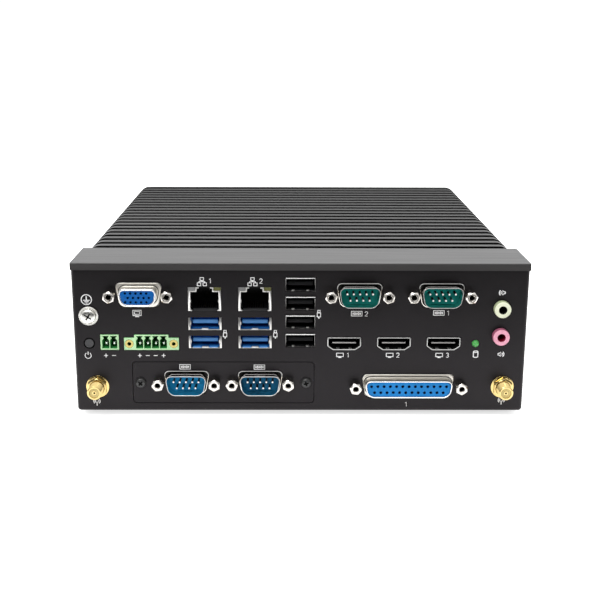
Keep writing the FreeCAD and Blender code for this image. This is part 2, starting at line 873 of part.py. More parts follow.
# Network and USB stacks
def lan_window(x, grow=0.0):
    """Panel opening round a network socket."""
    half = lan_window_width / 2 + grow
    x0, x1 = x - half, x + half
    z0, z1 = z_lan_low - lan_window_below - grow, z_lan_key + lan_window_above + grow
    return [(x0, z0), (x1, z0), (x1, z1), (x0, z1)]


def usb_mouth(x, z):
    return rectangle(x, z, usb_mouth_width, usb_mouth_height)


def usb3_window(x, z, grow=0.0):
    """Panel opening round one USB port of a network stack, with room at its sides and below its mouth."""
    half = usb_mouth_width / 2 + usb_window_side + grow
    z0 = z - usb_mouth_height / 2 - usb_window_below - grow
    z1 = z + usb_mouth_height / 2 + grow
    return [(x - half, z0), (x + half, z0), (x + half, z1), (x - half, z1)]


def usb2_window(z):
    """Panel slot for one port of the four-high stack, tall enough for the lip above its mouth."""
    height = usb_mouth_height + usb2_lip_height + slip
    return rectangle(x_usb2, z + (height - usb_mouth_height) / 2, usb_mouth_width + 2 * slip, height)


def lan_mouth(x):
    """Mouth of a network socket, with the latch key above it and cut corners below."""
    x0, x1 = x - lan_mouth_width / 2, x + lan_mouth_width / 2
    key0, key1 = x - lan_key_width / 2, x + lan_key_width / 2
    cut = lan_corner_cut
    floor = [(x0, z_lan_low + cut), (x0 + cut, z_lan_low), (x1 - cut, z_lan_low), (x1, z_lan_low + cut)]
    key = [(key1, z_lan_high), (key1, z_lan_key), (key0, z_lan_key), (key0, z_lan_high)]
    return upright(floor + [(x1, z_lan_high)] + key + [(x0, z_lan_high)])


def lan_lights(x, spare=0.0):
    """The two small lights in a network socket's upper corners."""
    z1 = z_lan_key + lan_window_above - lan_light_inset
    z0 = z1 - lan_light_height
    lights = []
    for side in (-1, 1):
        x_outer = x + side * (lan_window_width / 2 - lan_light_inset)
        x0, x1 = sorted((x_outer, x_outer - side * lan_light_width))
        y1 = y_back + lan_light_length + spare
        lights.append(box(x0 - spare, x1 + spare, y_mouth, y1, z0 - spare, z1 + spare))
    return lights


def lan_usb_shield(x):
    """Steel can open below, its fronts let into the panel and pierced for the network, lights and USB."""
    x0, x1 = x - can_width / 2, x + can_width / 2
    y1 = y_back + can_depth
    wall = can_wall
    can = box(x0, x1, y_back, y1, z_board, z_can_top)
    hollow = box(x0 + wall, x1 - wall, y_back + wall, y1 - wall, z_board - past, z_can_top - wall)
    windows = [lan_window(x, -slip)] + [usb3_window(x, z, -slip) for z in z_usb3]
    fronts = [bar(upright(window), y_mouth, y_back) for window in windows]
    mouths = [lan_mouth(x)] + [upright(usb_mouth(x, z)) for z in z_usb3]
    y_cut = y_back + wall + slip
    cuts = [bar(mouth, y_mouth - past, y_cut) for mouth in mouths]
    slot = lan_latch_slot_width / 2
    cuts.append(box(x - slot, x + slot, y_mouth - past, y_cut, z_lan_high, z_can_top + past))
    return joined(can, *fronts).cut([hollow] + cuts + lan_lights(x, slip))


def lan_insert(x):
    """Moulded block in the upper part of a can, with the cavity that takes a network plug."""
    inset = can_wall + slip
    x_side = can_width / 2 - inset
    y1 = y_back + can_depth - inset
    block = box(x - x_side, x + x_side, y_back + can_wall, y1, z_stack_split, z_can_top - inset)
    cavity = bar(lan_mouth(x), y_back - past, y_back + lan_cavity_depth)
    return block.cut([cavity] + lan_lights(x, slip))


def lan_contacts(x):
    """Gold contacts that rise from the floor towards the back of a network socket."""
    y1 = y_back + lan_cavity_depth
    side = [(y1 - lan_contact_length, z_lan_low), (y1, z_lan_low), (y1, z_lan_low + lan_contact_rise)]
    strips = []
    for strip_x, _ in contact_row(x, z_lan_low, lan_contact_count, lan_contact_pitch):
        corners = [vector(strip_x - lan_contact_width / 2, y, z) for y, z in side]
        wire = rounded_wire(corners, [0, 0, 0], True)
        strips.append(Part.Face(wire).extrude(vector(lan_contact_width, 0, 0)))
    return strips


def usb_block(x, width, depth, z_high, ports):
    """Moulded block inside a can, with a cavity and a tongue for each USB port."""
    inset = can_wall + slip
    y0, y1 = y_back + can_wall, y_back + depth - inset
    block = box(x - width / 2 + inset, x + width / 2 - inset, y0, y1, z_board, z_high)
    y_floor = y0 + usb_cavity_depth
    block = block.cut([bar(upright(usb_mouth(x, z)), y0 - past, y_floor) for z in ports])
    tongues = []
    for z in ports:
        z1 = z + usb_mouth_height / 2 - usb_tongue_drop
        z0 = z1 - usb_tongue_thickness
        half = usb_tongue_width / 2
        tongue = box(x - half, x + half, y_floor - usb_tongue_length, y_floor, z0, z1)
        lower_rim = [e for e in front_rim(tongue) if e.BoundBox.ZMax - z0 < slip]
        tongues.append(tongue.makeChamfer(usb_tongue_chamfer, lower_rim))
    return joined(block, *tongues)


def usb2_shield():
    """Steel can of the four-high stack; above each mouth a lip is turned out through the panel."""
    x0, x1 = x_usb2 - usb2_can_width / 2, x_usb2 + usb2_can_width / 2
    y1 = y_back + usb2_can_depth
    wall = can_wall
    can = box(x0, x1, y_back, y1, z_board, z_usb2_top)
    hollow = box(x0 + wall, x1 - wall, y_back + wall, y1 - wall, z_board - past, z_usb2_top - wall)
    mouths, lips = [], []
    for z in z_usb2:
        mouths.append(bar(upright(usb_mouth(x_usb2, z)), y_back - past, y_back + wall + slip))
        lip_z = z + usb_mouth_height / 2 + usb2_lip_height / 2
        lip = upright(rectangle(x_usb2, lip_z, usb_mouth_width, usb2_lip_height))
        lips.append(bar(lip, y_face - usb2_lip_reach, y_back + wall))
    return joined(can.cut([hollow] + mouths), *lips)


# Video sockets
def video_outline(x, grow=0.0):
    """Flat-topped outline with its lower corners drawn in, grown or shrunk evenly all round."""
    half = video_width / 2 + grow
    low, high = z_video - video_height / 2 - grow, z_video + video_height / 2 + grow
    slant = math.atan2(video_taper_height, video_taper_width) / 2
    shoulder = z_video - video_height / 2 + video_taper_height - grow * math.tan(math.pi / 4 - slant)
    foot = video_width / 2 - video_taper_width + grow * math.tan(slant)
    points = [(-foot, low), (foot, low), (half, shoulder), (half, high), (-half, high), (-half, shoulder)]
    corner = max(video_corner + grow, video_inner_corner)
    return upright([(x + across, z) for across, z in points], corner)


def video_shell(x):
    y0, y1 = y_face - video_proud, y_back + video_depth
    return bar(video_outline(x), y0, y1).cut(bar(video_outline(x, -video_wall), y0 - past, y1 + past))


def video_tongue(x):
    """Contact tongue on a block that closes the back of the shell."""
    y1 = y_back + video_depth
    y0 = y_face - video_proud + video_tongue_recess
    block = bar(video_outline(x, -video_wall - slip), y1 - video_block_depth, y1)
    half = video_tongue_width / 2
    z1 = z_video + video_height / 2 - video_tongue_drop
    tongue = box(x - half, x + half, y0, y1, z1 - video_tongue_thickness, z1)
    return joined(block, tongue)


# Terminal headers
def header_half_width(poles):
    return poles * pole_pitch / 2 + header_end_wall


def header_outline(x, poles, grow=0.0):
    """Front of a plain header, standing on the board."""
    half = header_half_width(poles) + grow
    low, high = z_board - grow, z_board + header_height + grow
    return [(x - half, low), (x + half, low), (x + half, high), (x - half, high)]


def eared_outline(x, poles, grow=0.0):
    """Front of a header with a lower ear at each end for its plug's screws."""
    body = header_half_width(poles) + grow
    ear = body + ear_width
    low, ear_top, high = z_board - grow, z_board + ear_height + grow, z_board + header_height + grow
    right = [(ear, low), (ear, ear_top), (body, ear_top), (body, high)]
    left = [(-across, z) for across, z in reversed(right)]
    return [(x + across, z) for across, z in right + left]


def pole_places(x, poles):
    return [place for place, _ in contact_row(x, z_board, poles, pole_pitch)]


def ear_places(x, poles):
    reach = header_half_width(poles) + ear_width / 2
    return [x - reach, x + reach]


def pocket(x):
    """Keyed pocket of one pole: square below, pinched at the neck and flared above."""
    half, neck = pocket_width / 2, pocket_neck_width / 2
    low = z_board + pocket_floor
    high = low + pocket_height
    shoulder = low + pocket_shoulder_height
    waist = (shoulder + high) / 2
    right = [(half, low), (half, shoulder), (neck, waist), (half, high)]
    left = [(-across, z) for across, z in reversed(right)]
    return upright([(x + across, z) for across, z in right + left])


def terminal_header(outline, x, poles):
    block = bar(upright(outline), y_header, y_header + pocket_depth + header_back_wall)
    y0, y1 = y_header - past, y_header + pocket_depth
    return block.cut([bar(pocket(pole_x), y0, y1) for pole_x in pole_places(x, poles)])


def dc_header():
    """Power header with holes in its ears for the threaded inserts."""
    block = terminal_header(eared_outline(x_dc, dc_poles), x_dc, dc_poles)
    y0, y1 = y_header - past, y_header + ear_nut_length
    z = z_board + ear_height / 2
    return block.cut([rod(x, z, ear_nut_radius + slip, y0, y1) for x in ear_places(x_dc, dc_poles)])


def dc_header_nuts():
    y1 = y_header + ear_nut_length
    z = z_board + ear_height / 2
    nuts = []
    for x in ear_places(x_dc, dc_poles):
        bore = rod(x, z, ear_nut_bore_radius, y_header - past, y1 + past)
        nuts.append(rod(x, z, ear_nut_radius, y_header, y1).cut(bore))
    return nuts


def header_pins():
    """Square pins in the pockets of both headers."""
    y1 = y_header + pocket_depth
    y0 = y1 - header_pin_length
    z = z_board + pocket_floor + pocket_shoulder_height / 2
    pins = []
    for x in pole_places(x_dc, dc_poles) + pole_places(x_switch, switch_poles):
        pin = bar(upright(rectangle(x, z, header_pin_side, header_pin_side)), y0, y1)
        pins.append(pin.makeChamfer(header_pin_chamfer, front_rim(pin)))
    return pins


# Audio jacks, drive light, power button and ground screw
def audio_jack(level):
    """Coloured barrel through the panel on a block; the upper jack's block stands on the lower one's."""
    z_split = sum(z_audio) / 2
    spans = [(z_board, z_split), (z_split, z_audio[1] + audio_in_above_board)]
    half = audio_body_width / 2
    block = box(x_audio - half, x_audio + half, y_back, y_back + audio_body_depth, *spans[level])
    y_tip = y_face - audio_proud
    barrel = rod(x_audio, z_audio[level], audio_barrel_radius, y_tip, y_back)
    barrel = barrel.makeChamfer(audio_rim_chamfer, front_rim(barrel))
    bore = rod(x_audio, z_audio[level], audio_bore_radius, y_tip - past, y_tip + audio_bore_depth)
    return joined(block, barrel).cut(bore)


def drive_led():
    """Round lens through the panel, on a holder that stands on the board."""
    y_dome = y_face - led_proud + led_radius
    lens = rod(x_led, z_led, led_radius, y_dome, y_back)
    dome = Part.makeSphere(led_radius, vector(x_led, y_dome, z_led))
    half = led_holder_side / 2
    holder = box(x_led - half, x_led + half, y_back, y_back + led_holder_depth, z_board, z_led + half)
    return joined(lens, dome, holder)


def power_button():
    """Cap through the panel, with a collar behind it that keeps it from coming out."""
    y_collar = y_back + slip
    cap = rod(x_button, z_button, button_radius, y_face - button_proud, y_collar)
    cap = cap.makeChamfer(button_rim_chamfer, front_rim(cap))
    collar = rod(x_button, z_button, button_collar_radius, y_collar, y_collar + button_collar_thickness)
    return joined(cap, collar)


def power_switch():
    """Push switch on the board, its plunger a little behind the pressed button."""
    y_plunger = y_back + slip + button_collar_thickness + button_travel + button_end_gap
    y0 = y_plunger + plunger_length
    plunger = rod(x_button, z_button, plunger_radius, y_plunger, y0)
    half = switch_side / 2
    body = box(x_button - half, x_button + half, y0, y0 + switch_depth, z_board, z_button + half)
    return joined(plunger, body)


def ground_screw():
    """Earth screw with a wide rim under its dome, and its nut behind the panel."""
    rim = ground_rim_thickness
    crown = rim + ground_dome_height
    profile = [
        (-crown, 0),
        (-crown, ground_crown_radius),
        (-crown + ground_dome_height / 2, ground_dome_radius),
        (-rim, ground_dome_radius),
        (-rim, ground_rim_radius),
        (0, ground_rim_radius),
        (0, ground_shank_radius),
        (ground_shank_length, ground_shank_radius),
        (ground_shank_length, 0),
    ]
    screw = turned(profile, (x_ground, y_face, z_ground), (0, 1, 0))
    y1 = y_back + ground_nut_height
    nut = bar(upright(hexagon(x_ground, z_ground, ground_nut_flats)), y_back, y1)
    bore = rod(x_ground, z_ground, ground_shank_radius + slip, y_back - past, y1 + past)
    return [screw, nut.cut(bore)]


# Antenna jacks
def antenna_jack(x):
    """Turned coaxial jack: threaded nose with its socket in front, flange and tail behind the panel."""
    tip = antenna_reach + panel_thickness
    rim = tip - antenna_tip_chamfer
    floor = tip - antenna_socket_depth
    profile = [
        (-antenna_tail_length, 0),
        (-antenna_tail_length, antenna_tail_radius),
        (-antenna_flange_thickness, antenna_tail_radius),
        (-antenna_flange_thickness, antenna_flange_radius),
        (0, antenna_flange_radius),
        (0, antenna_thread_radius),
        (rim, antenna_thread_radius),
        (tip, antenna_thread_radius - antenna_tip_chamfer),
        (tip, antenna_socket_radius),
        (floor, antenna_socket_radius),
        (floor, antenna_contact_radius),
        (rim, antenna_contact_radius),
        (rim, antenna_contact_bore_radius),
        (floor, antenna_contact_bore_radius),
        (floor, 0),
    ]
    return turned(profile, (x, y_back, z_antenna), (0, -1, 0))


def antenna_fasteners(x):
    """Washer against the panel and the nut that clamps it, its outer corners chamfered."""
    y_seat = y_face - antenna_washer_thickness
    y_front = y_seat - antenna_nut_thickness
    bore = rod(x, z_antenna, antenna_thread_radius + slip, y_front - past, y_face + past)
    washer = rod(x, z_antenna, antenna_washer_radius, y_seat, y_face)
    nut = bar(upright(hexagon(x, z_antenna, antenna_nut_flats)), y_front, y_seat)
    thick, face_radius = antenna_nut_thickness, antenna_nut_flats / 2
    flare = thick / math.tan(math.radians(antenna_nut_chamfer_deg))
    cone = [(0, 0), (0, face_radius), (thick, face_radius + flare), (thick, 0)]
    nut = nut.common(turned(cone, (x, y_front, z_antenna), (0, 1, 0)))
    return [washer.cut(bore), nut.cut(bore)]


def antenna_lead(side):
    """Thin coaxial lead from a jack's tail along the wall, across under the board and up to the module."""
    x_plug = x_wireless + side * lead_spacing / 2
    y_plug = y_wireless + side * lead_spacing / 2
    z_plug = z_board - board_thickness - wireless_height
    y_tail = y_back + antenna_tail_length
    y_jog = y_tail + lead_stub
    x_run = half_width - wall_thickness - lead_wall_gap - lead_radius
    route = [
        vector(side * x_antenna, y_tail, z_antenna),
        vector(side * x_antenna, y_jog, z_antenna),
        vector(side * x_run, y_jog + x_run - x_antenna, z_antenna),
        vector(side * x_run, y_plug, z_antenna),
        vector(x_plug, y_plug, z_antenna),
        vector(x_plug, y_plug, z_plug),
    ]
    radii = [0, lead_jog_radius, lead_jog_radius, lead_bend_radius, lead_bend_radius, 0]
    path = rounded_wire(route, radii, False)
    section = upright(polygon(side * x_antenna, z_antenna, lead_sides, 2 * lead_radius))
    section.translate(vector(0, y_tail, 0))
    return path.makePipeShell([section], True, False)


# Inside
def standoff_places():
    ys = (y_board + standoff_front, y_board + standoff_front + standoff_span_y)
    return [(side * standoff_span_x / 2, y) for side in (-1, 1) for y in ys]


def mainboard():
    half = board_width / 2
    board = box(-half, half, y_board, y_board + board_depth, z_board - board_thickness, z_board)
    return board.cut([pan_shank(*seat, slip) for seat in board_screw_seats()])


def board_standoffs():
    """Hexagonal posts from the floor to the mainboard, bored for its screws."""
    height = z_board - board_thickness - z_floor
    posts = []
    for x, y in standoff_places():
        corners = [vector(*corner, z_floor) for corner in hexagon(x, y, standoff_flats)]
        posts.append(Part.Face(rounded_wire(corners, [0] * 6, True)).extrude(vector(0, 0, height)))
    return [post.cut(pan_shank(*seat, slip)) for post, seat in zip(posts, board_screw_seats())]


def block_on_processor(side, z0, z1):
    half = side / 2
    return box(-half, half, y_processor - half, y_processor + half, z0, z1)


def memory_left():
    """Left edge of the memory module, beside the heat block."""
    return heat_block_side / 2 + memory_side_gap


def memory_module():
    """Memory board lying flat with chips on top, its left edge in the socket."""
    x0 = memory_left()
    y0 = y_processor - memory_length / 2
    z0 = z_board + memory_lift
    z1 = z0 + memory_thickness
    board = box(x0, x0 + memory_depth, y0, y0 + memory_length, z0, z1)
    chip_x = x0 + memory_socket_depth
    half = memory_chip_width / 2
    chips = []
    for y, _ in contact_row(y_processor, z1, memory_chip_count, memory_length / memory_chip_count):
        chips.append(box(chip_x, chip_x + memory_chip_depth, y - half, y + half, z1, z1 + memory_chip_height))
    return joined(board, *chips)


def memory_socket():
    """Slotted socket that grips the memory module's edge, and the rest under its far edge."""
    x0 = memory_left() + memory_bite - memory_socket_depth
    x1 = x0 + memory_socket_depth
    y0, y1 = y_processor - memory_length / 2, y_processor + memory_length / 2
    z0 = z_board + memory_lift
    socket = box(x0, x1, y0 - memory_bite, y1 + memory_bite, z_board, z_board + memory_socket_height)
    slot = box(x1 - memory_bite - slip, x1 + past, y0 - slip, y1 + slip, z0, z0 + memory_thickness + slip)
    far = memory_left() + memory_depth
    rest = box(far - memory_rest_depth, far, y0, y1, z_board, z0)
    return [socket.cut(slot), rest]


def storage_drive():
    """Flat drive on the floor under the mainboard."""
    x, y = drive_length / 2, drive_width / 2
    drive = box(-x, x, y_middle - y, y_middle + y, z_floor, z_floor + drive_height)
    return drive.makeFillet(drive_corner, upright_edges(drive))


def wireless_module():
    """Shielded radio module soldered to the underside of the mainboard."""
    x, y = wireless_width / 2, wireless_length / 2
    z1 = z_board - board_thickness
    return box(x_wireless - x, x_wireless + x, y_wireless - y, y_wireless + y, z1 - wireless_height, z1)


# Every node's name with its solid, or with its list of like solids
def nodes():
    z_processor = z_board + processor_height
    z_usb2_roof = z_usb2_top - can_wall - slip
    dense = dense_contacts(x_vga, z_upper)
    wide = staggered_contacts(x_gpio, z_gpio, wide_columns)
    made = {
        "heatsink_cover": heatsink_cover(),
        "front_panel": front_panel(),
        "rear_panel": rear_panel(),
        "left_side_wall": side_wall(-1),
        "right_side_wall": side_wall(1),
        "bottom_cover": bottom_cover(),
        "rubber_feet": rubber_feet(),
        "housing_screws": housing_screws(),
        "pan_screws": pan_screws(),
        "module_plate": module_plate(),
        "module_board": module_board(),
        "vga_shell": socket_shell(x_vga, z_upper, dense_width, nine_screw_pitch, nine_cutout_width),
        "vga_insulator": socket_insulator(x_vga, z_upper, dense_width, dense),
        "gpio_shell": socket_shell(x_gpio, z_gpio, wide_width, wide_screw_pitch, wide_cutout_width),
        "gpio_insulator": socket_insulator(x_gpio, z_gpio, wide_width, wide),
        "serial_pins": serial_pins(),
        "jackscrews": jackscrews(),
        "lan_contacts": [strip for x in x_lan for strip in lan_contacts(x)],
        "lan_lights": [light for x in x_lan for light in lan_lights(x)],
        "usb2_shield": usb2_shield(),
        "usb2_insert": usb_block(x_usb2, usb2_can_width, usb2_can_depth, z_usb2_roof, z_usb2),
        "video_tongues": [video_tongue(x) for x in x_video],
        "dc_header": dc_header(),
        "dc_header_nuts": dc_header_nuts(),
        "switch_header": terminal_header(header_outline(x_switch, switch_poles), x_switch, switch_poles),
        "header_pins": header_pins(),
        "audio_jack_in": audio_jack(0),
        "audio_jack_out": audio_jack(1),
        "drive_led": drive_led(),
        "power_button": power_button(),
        "power_switch": power_switch(),
        "ground_screw": ground_screw(),
        "antenna_jacks": [antenna_jack(side * x_antenna) for side in (-1, 1)],
        "antenna_fasteners": [piece for side in (-1, 1) for piece in antenna_fasteners(side * x_antenna)],
        "antenna_leads": [antenna_lead(side) for side in (-1, 1)],
        "wireless_module": wireless_module(),
        "mainboard": mainboard(),
        "board_standoffs": board_standoffs(),
        "processor": block_on_processor(processor_side, z_board, z_processor),
        "heat_block": block_on_processor(heat_block_side, z_processor, z_base),
        "memory_module": memory_module(),
        "memory_socket": memory_socket(),
        "storage_drive": storage_drive(),
    }
    for number, (x, z) in enumerate(plugs, 1):
        made[f"com_{number}_shell"] = plug_shell(x, z)
        made[f"com_{number}_insulator"] = dsub_insulator(x, z, nine_width, nine_height, y_plug_floor)
    for number, x in enumerate(x_lan, 1):
        made[f"lan_usb_shield_{number}"] = lan_usb_shield(x)
        made[f"lan_insert_{number}"] = lan_insert(x)
        made[f"usb3_insert_{number}"] = usb_block(x, can_width, can_depth, z_stack_split, z_usb3)
    for number, x in enumerate(x_video, 1):
        made[f"video_shell_{number}"] = video_shell(x)
    return made


os.makedirs("parts", exist_ok=True)
for name, solids in nodes().items():
    shape = Part.makeCompound(solids) if isinstance(solids, list) else solids
    shape.exportStep(os.path.join("parts", name + ".step"))
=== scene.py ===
import json
import math

import bmesh
import bpy
from mathutils import Matrix, Vector

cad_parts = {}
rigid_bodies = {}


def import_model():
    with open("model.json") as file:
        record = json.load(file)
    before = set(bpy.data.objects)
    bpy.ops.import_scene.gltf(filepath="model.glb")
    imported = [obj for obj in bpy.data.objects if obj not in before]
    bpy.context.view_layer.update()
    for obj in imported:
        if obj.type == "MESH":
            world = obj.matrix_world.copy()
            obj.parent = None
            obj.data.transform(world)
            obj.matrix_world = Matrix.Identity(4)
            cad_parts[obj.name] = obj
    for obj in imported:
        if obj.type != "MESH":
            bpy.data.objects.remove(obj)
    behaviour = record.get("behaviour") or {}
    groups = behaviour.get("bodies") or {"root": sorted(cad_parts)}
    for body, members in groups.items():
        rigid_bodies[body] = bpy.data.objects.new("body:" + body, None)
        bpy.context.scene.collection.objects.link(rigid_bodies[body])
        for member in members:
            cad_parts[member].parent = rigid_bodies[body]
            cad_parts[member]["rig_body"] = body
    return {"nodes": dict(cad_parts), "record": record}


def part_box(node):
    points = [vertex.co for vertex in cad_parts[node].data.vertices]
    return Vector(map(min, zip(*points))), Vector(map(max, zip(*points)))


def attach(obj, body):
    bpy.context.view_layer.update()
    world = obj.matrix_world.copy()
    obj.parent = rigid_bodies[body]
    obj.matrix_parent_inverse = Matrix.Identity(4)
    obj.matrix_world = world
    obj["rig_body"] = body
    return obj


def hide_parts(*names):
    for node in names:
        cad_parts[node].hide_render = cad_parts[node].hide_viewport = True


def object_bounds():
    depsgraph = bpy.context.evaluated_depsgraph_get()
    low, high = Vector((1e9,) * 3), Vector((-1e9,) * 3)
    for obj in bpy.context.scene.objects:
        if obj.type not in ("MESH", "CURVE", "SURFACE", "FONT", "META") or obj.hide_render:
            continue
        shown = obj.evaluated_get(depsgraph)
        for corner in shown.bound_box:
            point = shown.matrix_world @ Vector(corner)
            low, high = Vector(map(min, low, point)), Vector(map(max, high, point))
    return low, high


# Looks of a fanless edge computer: finishes for every surface, the detailed pieces, and a plain studio.
# The frame is in metres. Pieces are modelled in millimetres, at their place, and scaled down when finished.

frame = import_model()
cad_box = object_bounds()
mm = 0.001

# Camera, measured from the middle of the panel's lower edge
camera_place = (-5.1, -441.0, 170.2)
camera_pitch_deg = 15.03
camera_yaw_deg = 0.62
camera_roll_deg = 0.25
camera_lens = 62.65
sensor_width = 36.0

# Studio, in metres
floor_size = 40.0
floor_in_front = 0.16
floor_glow = 0.7
floor_mirrored = 1.2
floor_colour = (0.9, 0.9, 0.9)
floor_patch = 0.4
floor_spread = 0.01
floor_roughness = 0.9
sky_bright_side = (0, 0.55, 0.85)
sky_dim_from = -0.3
sky_bright_from = 0.6
sky_dim_strength = 0.02
sky_strength = 1.45
sky_colour = (1, 1, 1, 1)
backdrop_strength = 1.05
softboxes = (
    # name, place, size and power
    ("front softbox", (-0.35, -1.0, 1.1), 0.7, 9.0),
    ("top softbox", (0.1, 0.4, 1.5), 1.2, 14.0),
)

# Finishes, in millimetres
patch_size = 14.0
patch_detail = 3.0
spread_span = (0.3, 0.7)
roughness_spread = 0.06
metal_grain = 0.5
metal_grain_depth = 0.004
metal_spread = 0.05
moulded_grain = 0.3
moulded_grain_depth = 0.006
panel_colour = (0.007, 0.0067, 0.007)
panel_tint = (1, 0.92, 0.98)
cover_colour = (0.014, 0.014, 0.0142)
# Painted highlight on the cover's front edge, and painted shade on its upright sides such as the fins'
# flanks
edge_highlight_colour = (0.034, 0.032, 0.032)
side_shade_colour = (0.003, 0.003, 0.003)
edge_highlight_depth = 0.3
cover_spread = 0.25
cover_grain = 0.25
cover_grain_stretch = 0.12
cover_grain_depth = 0.008
streak_width = 1.2
streak_detail = 4.0
streak_stretch = 0.02
streak_gloss = 0.12
land_depth = 31.7
cover_front, cover_rear = (corner.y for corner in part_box("heatsink_cover"))
land_back = cover_front + land_depth * mm
land_roughness = 0.38
fin_roughness = 0.45
rear_dulling = 0.32
side_gloss = 0.33
fin_blend = 0.5

# Modelling
merge_distance = 0.0005
closeness = 0.01
flat_within_deg = 1.0
ease_from_deg = 40.0
smooth_within_deg = 35.0
ease_segments = 2
corner_segments = 6
pin_segments = 16
hole_segments = 24
round_segments = 40
fine_segments = 48
cut_spare = 1.0
facing_front = (math.pi / 2, 0, 0)

# How far forward or up a face's normal points to count as facing that way
squarely_front = 0.95
mostly_front = 0.9
partly_front = 0.5
mostly_up = 0.8

# Drawn shells of the D-shaped connectors
flank_deg = 10.0
flank_growth = (1 + math.sin(math.radians(flank_deg))) / math.cos(math.radians(flank_deg))
socket_wall = 0.4
plug_wall = 0.26
plug_fill_width = 1.016
plug_fill_height = 1.034
plug_fill_ease = 0.03
blue_plug = 3
tube_corner = 3.0
nine_width = 18.5
nine_height = 9.1
dense_width = 17.4
wide_width = 39.4
socket_height = 7.9
flange_thickness = 0.8
flange_corner = 1.0
nine_cutout_width = 21.0
wide_cutout_width = 41.8
ring_gap = 0.15
ring_height = 10.9
ring_corner = 2.6
nine_screw_pitch = 24.99
wide_screw_pitch = 47.04
stem_hole_radius = 1.5

# Steps of a drawn shell, each an inset and a move forward
socket_ring = [(0, 1.4), (0.1, 0.14), (0.15, 0.06)]
socket_fold = [(0.2, -0.7), (0.15, 0.6), (0.1, 0.25), (0.2, 0.1)]
dense_rim = [(0.08, 0.16), (0.16, 0.1), (0.32, 0), (0.16, -0.1), (0.08, -0.16)]
wide_rim = [(0.08, 0.16), (0.12, 0.1), (0.16, 0), (0.12, -0.1), (0.08, -0.16)]
plug_ring = [(0, 1.42), (0.09, 0.16), (0.16, 0.04), (0.08, -0.04), (0.05, -1.3)]
plug_rim = [(0.07, 0.07), (0.12, 0), (0.07, -0.07)]
# Depth of the band at a shell's rim that gets a painted highlight
rim_depth = 0.3
contact_hole_ease = 0.14

# Where a drawn shell gets painted shade and where its ring gets a painted highlight, both in front of its
# tube's foot
socket_shade = (-0.6, -0.2)
socket_shine = (0, 0)
plug_shade = (-4.0, 0.8)
plug_shine = (1.1, 1.6)
shine_height = 3.0

# Jackscrews
jack_flats = 4.75
jack_face_radius = 1.95
jack_chamfer_deg = 38.0
jack_thread_radius = 1.4
jack_bore_radius = 1.15
jack_thread_pitch = 0.635
jack_bore_turns = 6
jack_stem_overlap = 0.5
# Depth into a jackscrew's bore from which its walls get painted shade
bore_shade_from = 0.9
jack_turns_deg = (8, 21, -14, 3, 27, -6, 17, -22, 11, 30, -3, 24)

# Screws: profiles are points of (y, radius), with the seat at y = 0 and the head in front of it.
# A recess has the span, depth and width of one blade of its cross.
pan_head = [(-1.7, 1.2), (-1.6, 1.65), (-1.35, 2.0), (-0.9, 2.25), (-0.4, 2.37), (0, 2.4)]
flat_head = [(0, 2.3), (0.1, 2.4), (1.2, 1.25)]
screw_radius = 1.25
screw_point = 0.4
recess_size = (3.1, 1.1, 0.9)
recess_taper = (0.45, 1, 0.7)
screw_turn_deg = 33.0

# Ground screw, points of (y, radius) from the panel's face
ground_dome = [(-2.5, 1.5), (-2.38, 2.3), (-2.0, 3.0), (-1.5, 3.33), (-1.05, 3.42)]
ground_rim = [(-0.95, 3.5), (-0.95, 4.05), (-0.75, 4.25), (-0.1, 4.25), (0, 4.15)]
ground_shank_radius = 2.0
ground_recess_size = (4.4, 1.5, 0.75)
ground_recess_turn_deg = 32.0

# Antenna jacks
antenna_thread_radius = 3.175
antenna_thread_depth = 0.28
antenna_thread_pitch = 0.706
antenna_thread_turns = 12
antenna_tip_chamfer = 0.45
antenna_socket_radius = 2.3
antenna_socket_depth = 2.0
antenna_contact_radius = 0.9
antenna_contact_bore = 0.45
antenna_contact_recess = 0.5
antenna_flange_radius = 4.6
antenna_flange_thickness = 2.0
antenna_tail_radius = 2.3
antenna_filling_depth = 0.8
antenna_fastener_ease = 0.12

# Contact pins, points of (y, radius) from the tip
# Depth behind a pin's tip from which its body gets painted shade
pin_shade_depth = 0.2
pin_tip = [(0, 0.16), (0.06, 0.32), (0.2, 0.44), (0.45, 0.5)]

# Network and USB sockets
can_ease = 0.05
insert_ease = 0.05
lan_mouth_width = 12.4
lan_spring_height = 53.6
lan_floor = 49.1
# Grey sill on a network mouth's floor, a painted highlight where the front of the floor is lit
lan_sill_size = (10.6, 4.0, 0.2)
lan_sill_back = 0.3
lan_sill_ease = 0.05
lens_edge = 0.18
lens_dish = 0.12
usb_mouth_width = 12.7
usb_mouth_height = 5.6
usb3_line_height = 0.2
usb3_tab_width = 2.9
usb3_tab_height = 0.5
usb3_tab_ease = 0.1
# Sills on the lower USB port's floor, added to carry a painted highlight on their fronts
usb3_sill_place = 3.6
usb3_sill_width = 3.6
usb3_sill_height = 0.55
usb3_sill_ease = 0.08
usb2_lip_height = 0.8
usb2_lip_ease = 0.14
# Strips of painted highlight along the upper edges of the USB lips
usb2_highlight_height = 0.4
usb2_highlight_proud = 0.08
usb2_highlight_ease = 0.06
usb_tongue_front = 0.15
usb_spring_place = 3.2
usb_spring_width = 1.3
usb_spring_height = 0.35
usb_spring_reach = 0.4
usb_spring_ease = 0.12
spring_length = 2.4
spring_depth = 1.6
spring_thickness = 0.3
spring_bow = 0.25
spring_cuts = 5
spring_bow_shares = (0.7, 0.4)

# Video sockets
video_wall = 0.45
video_ease = 0.06
video_rim = 0.1
video_spring_place = 2.7
video_spring_size = (1.5, 2.0, 0.3)
video_spring_back = 0.5
video_spring_ease = 0.1
video_tongue_ease = 0.17

# Terminal headers
header_ease = 0.08
# Depth behind a header's front from which its pockets get painted shade
header_rim = 0.3

# Audio jacks
audio_bore_radius = 1.8
audio_ease = 0.15
audio_groove_edge = 0.4
audio_groove_depth = 0.1

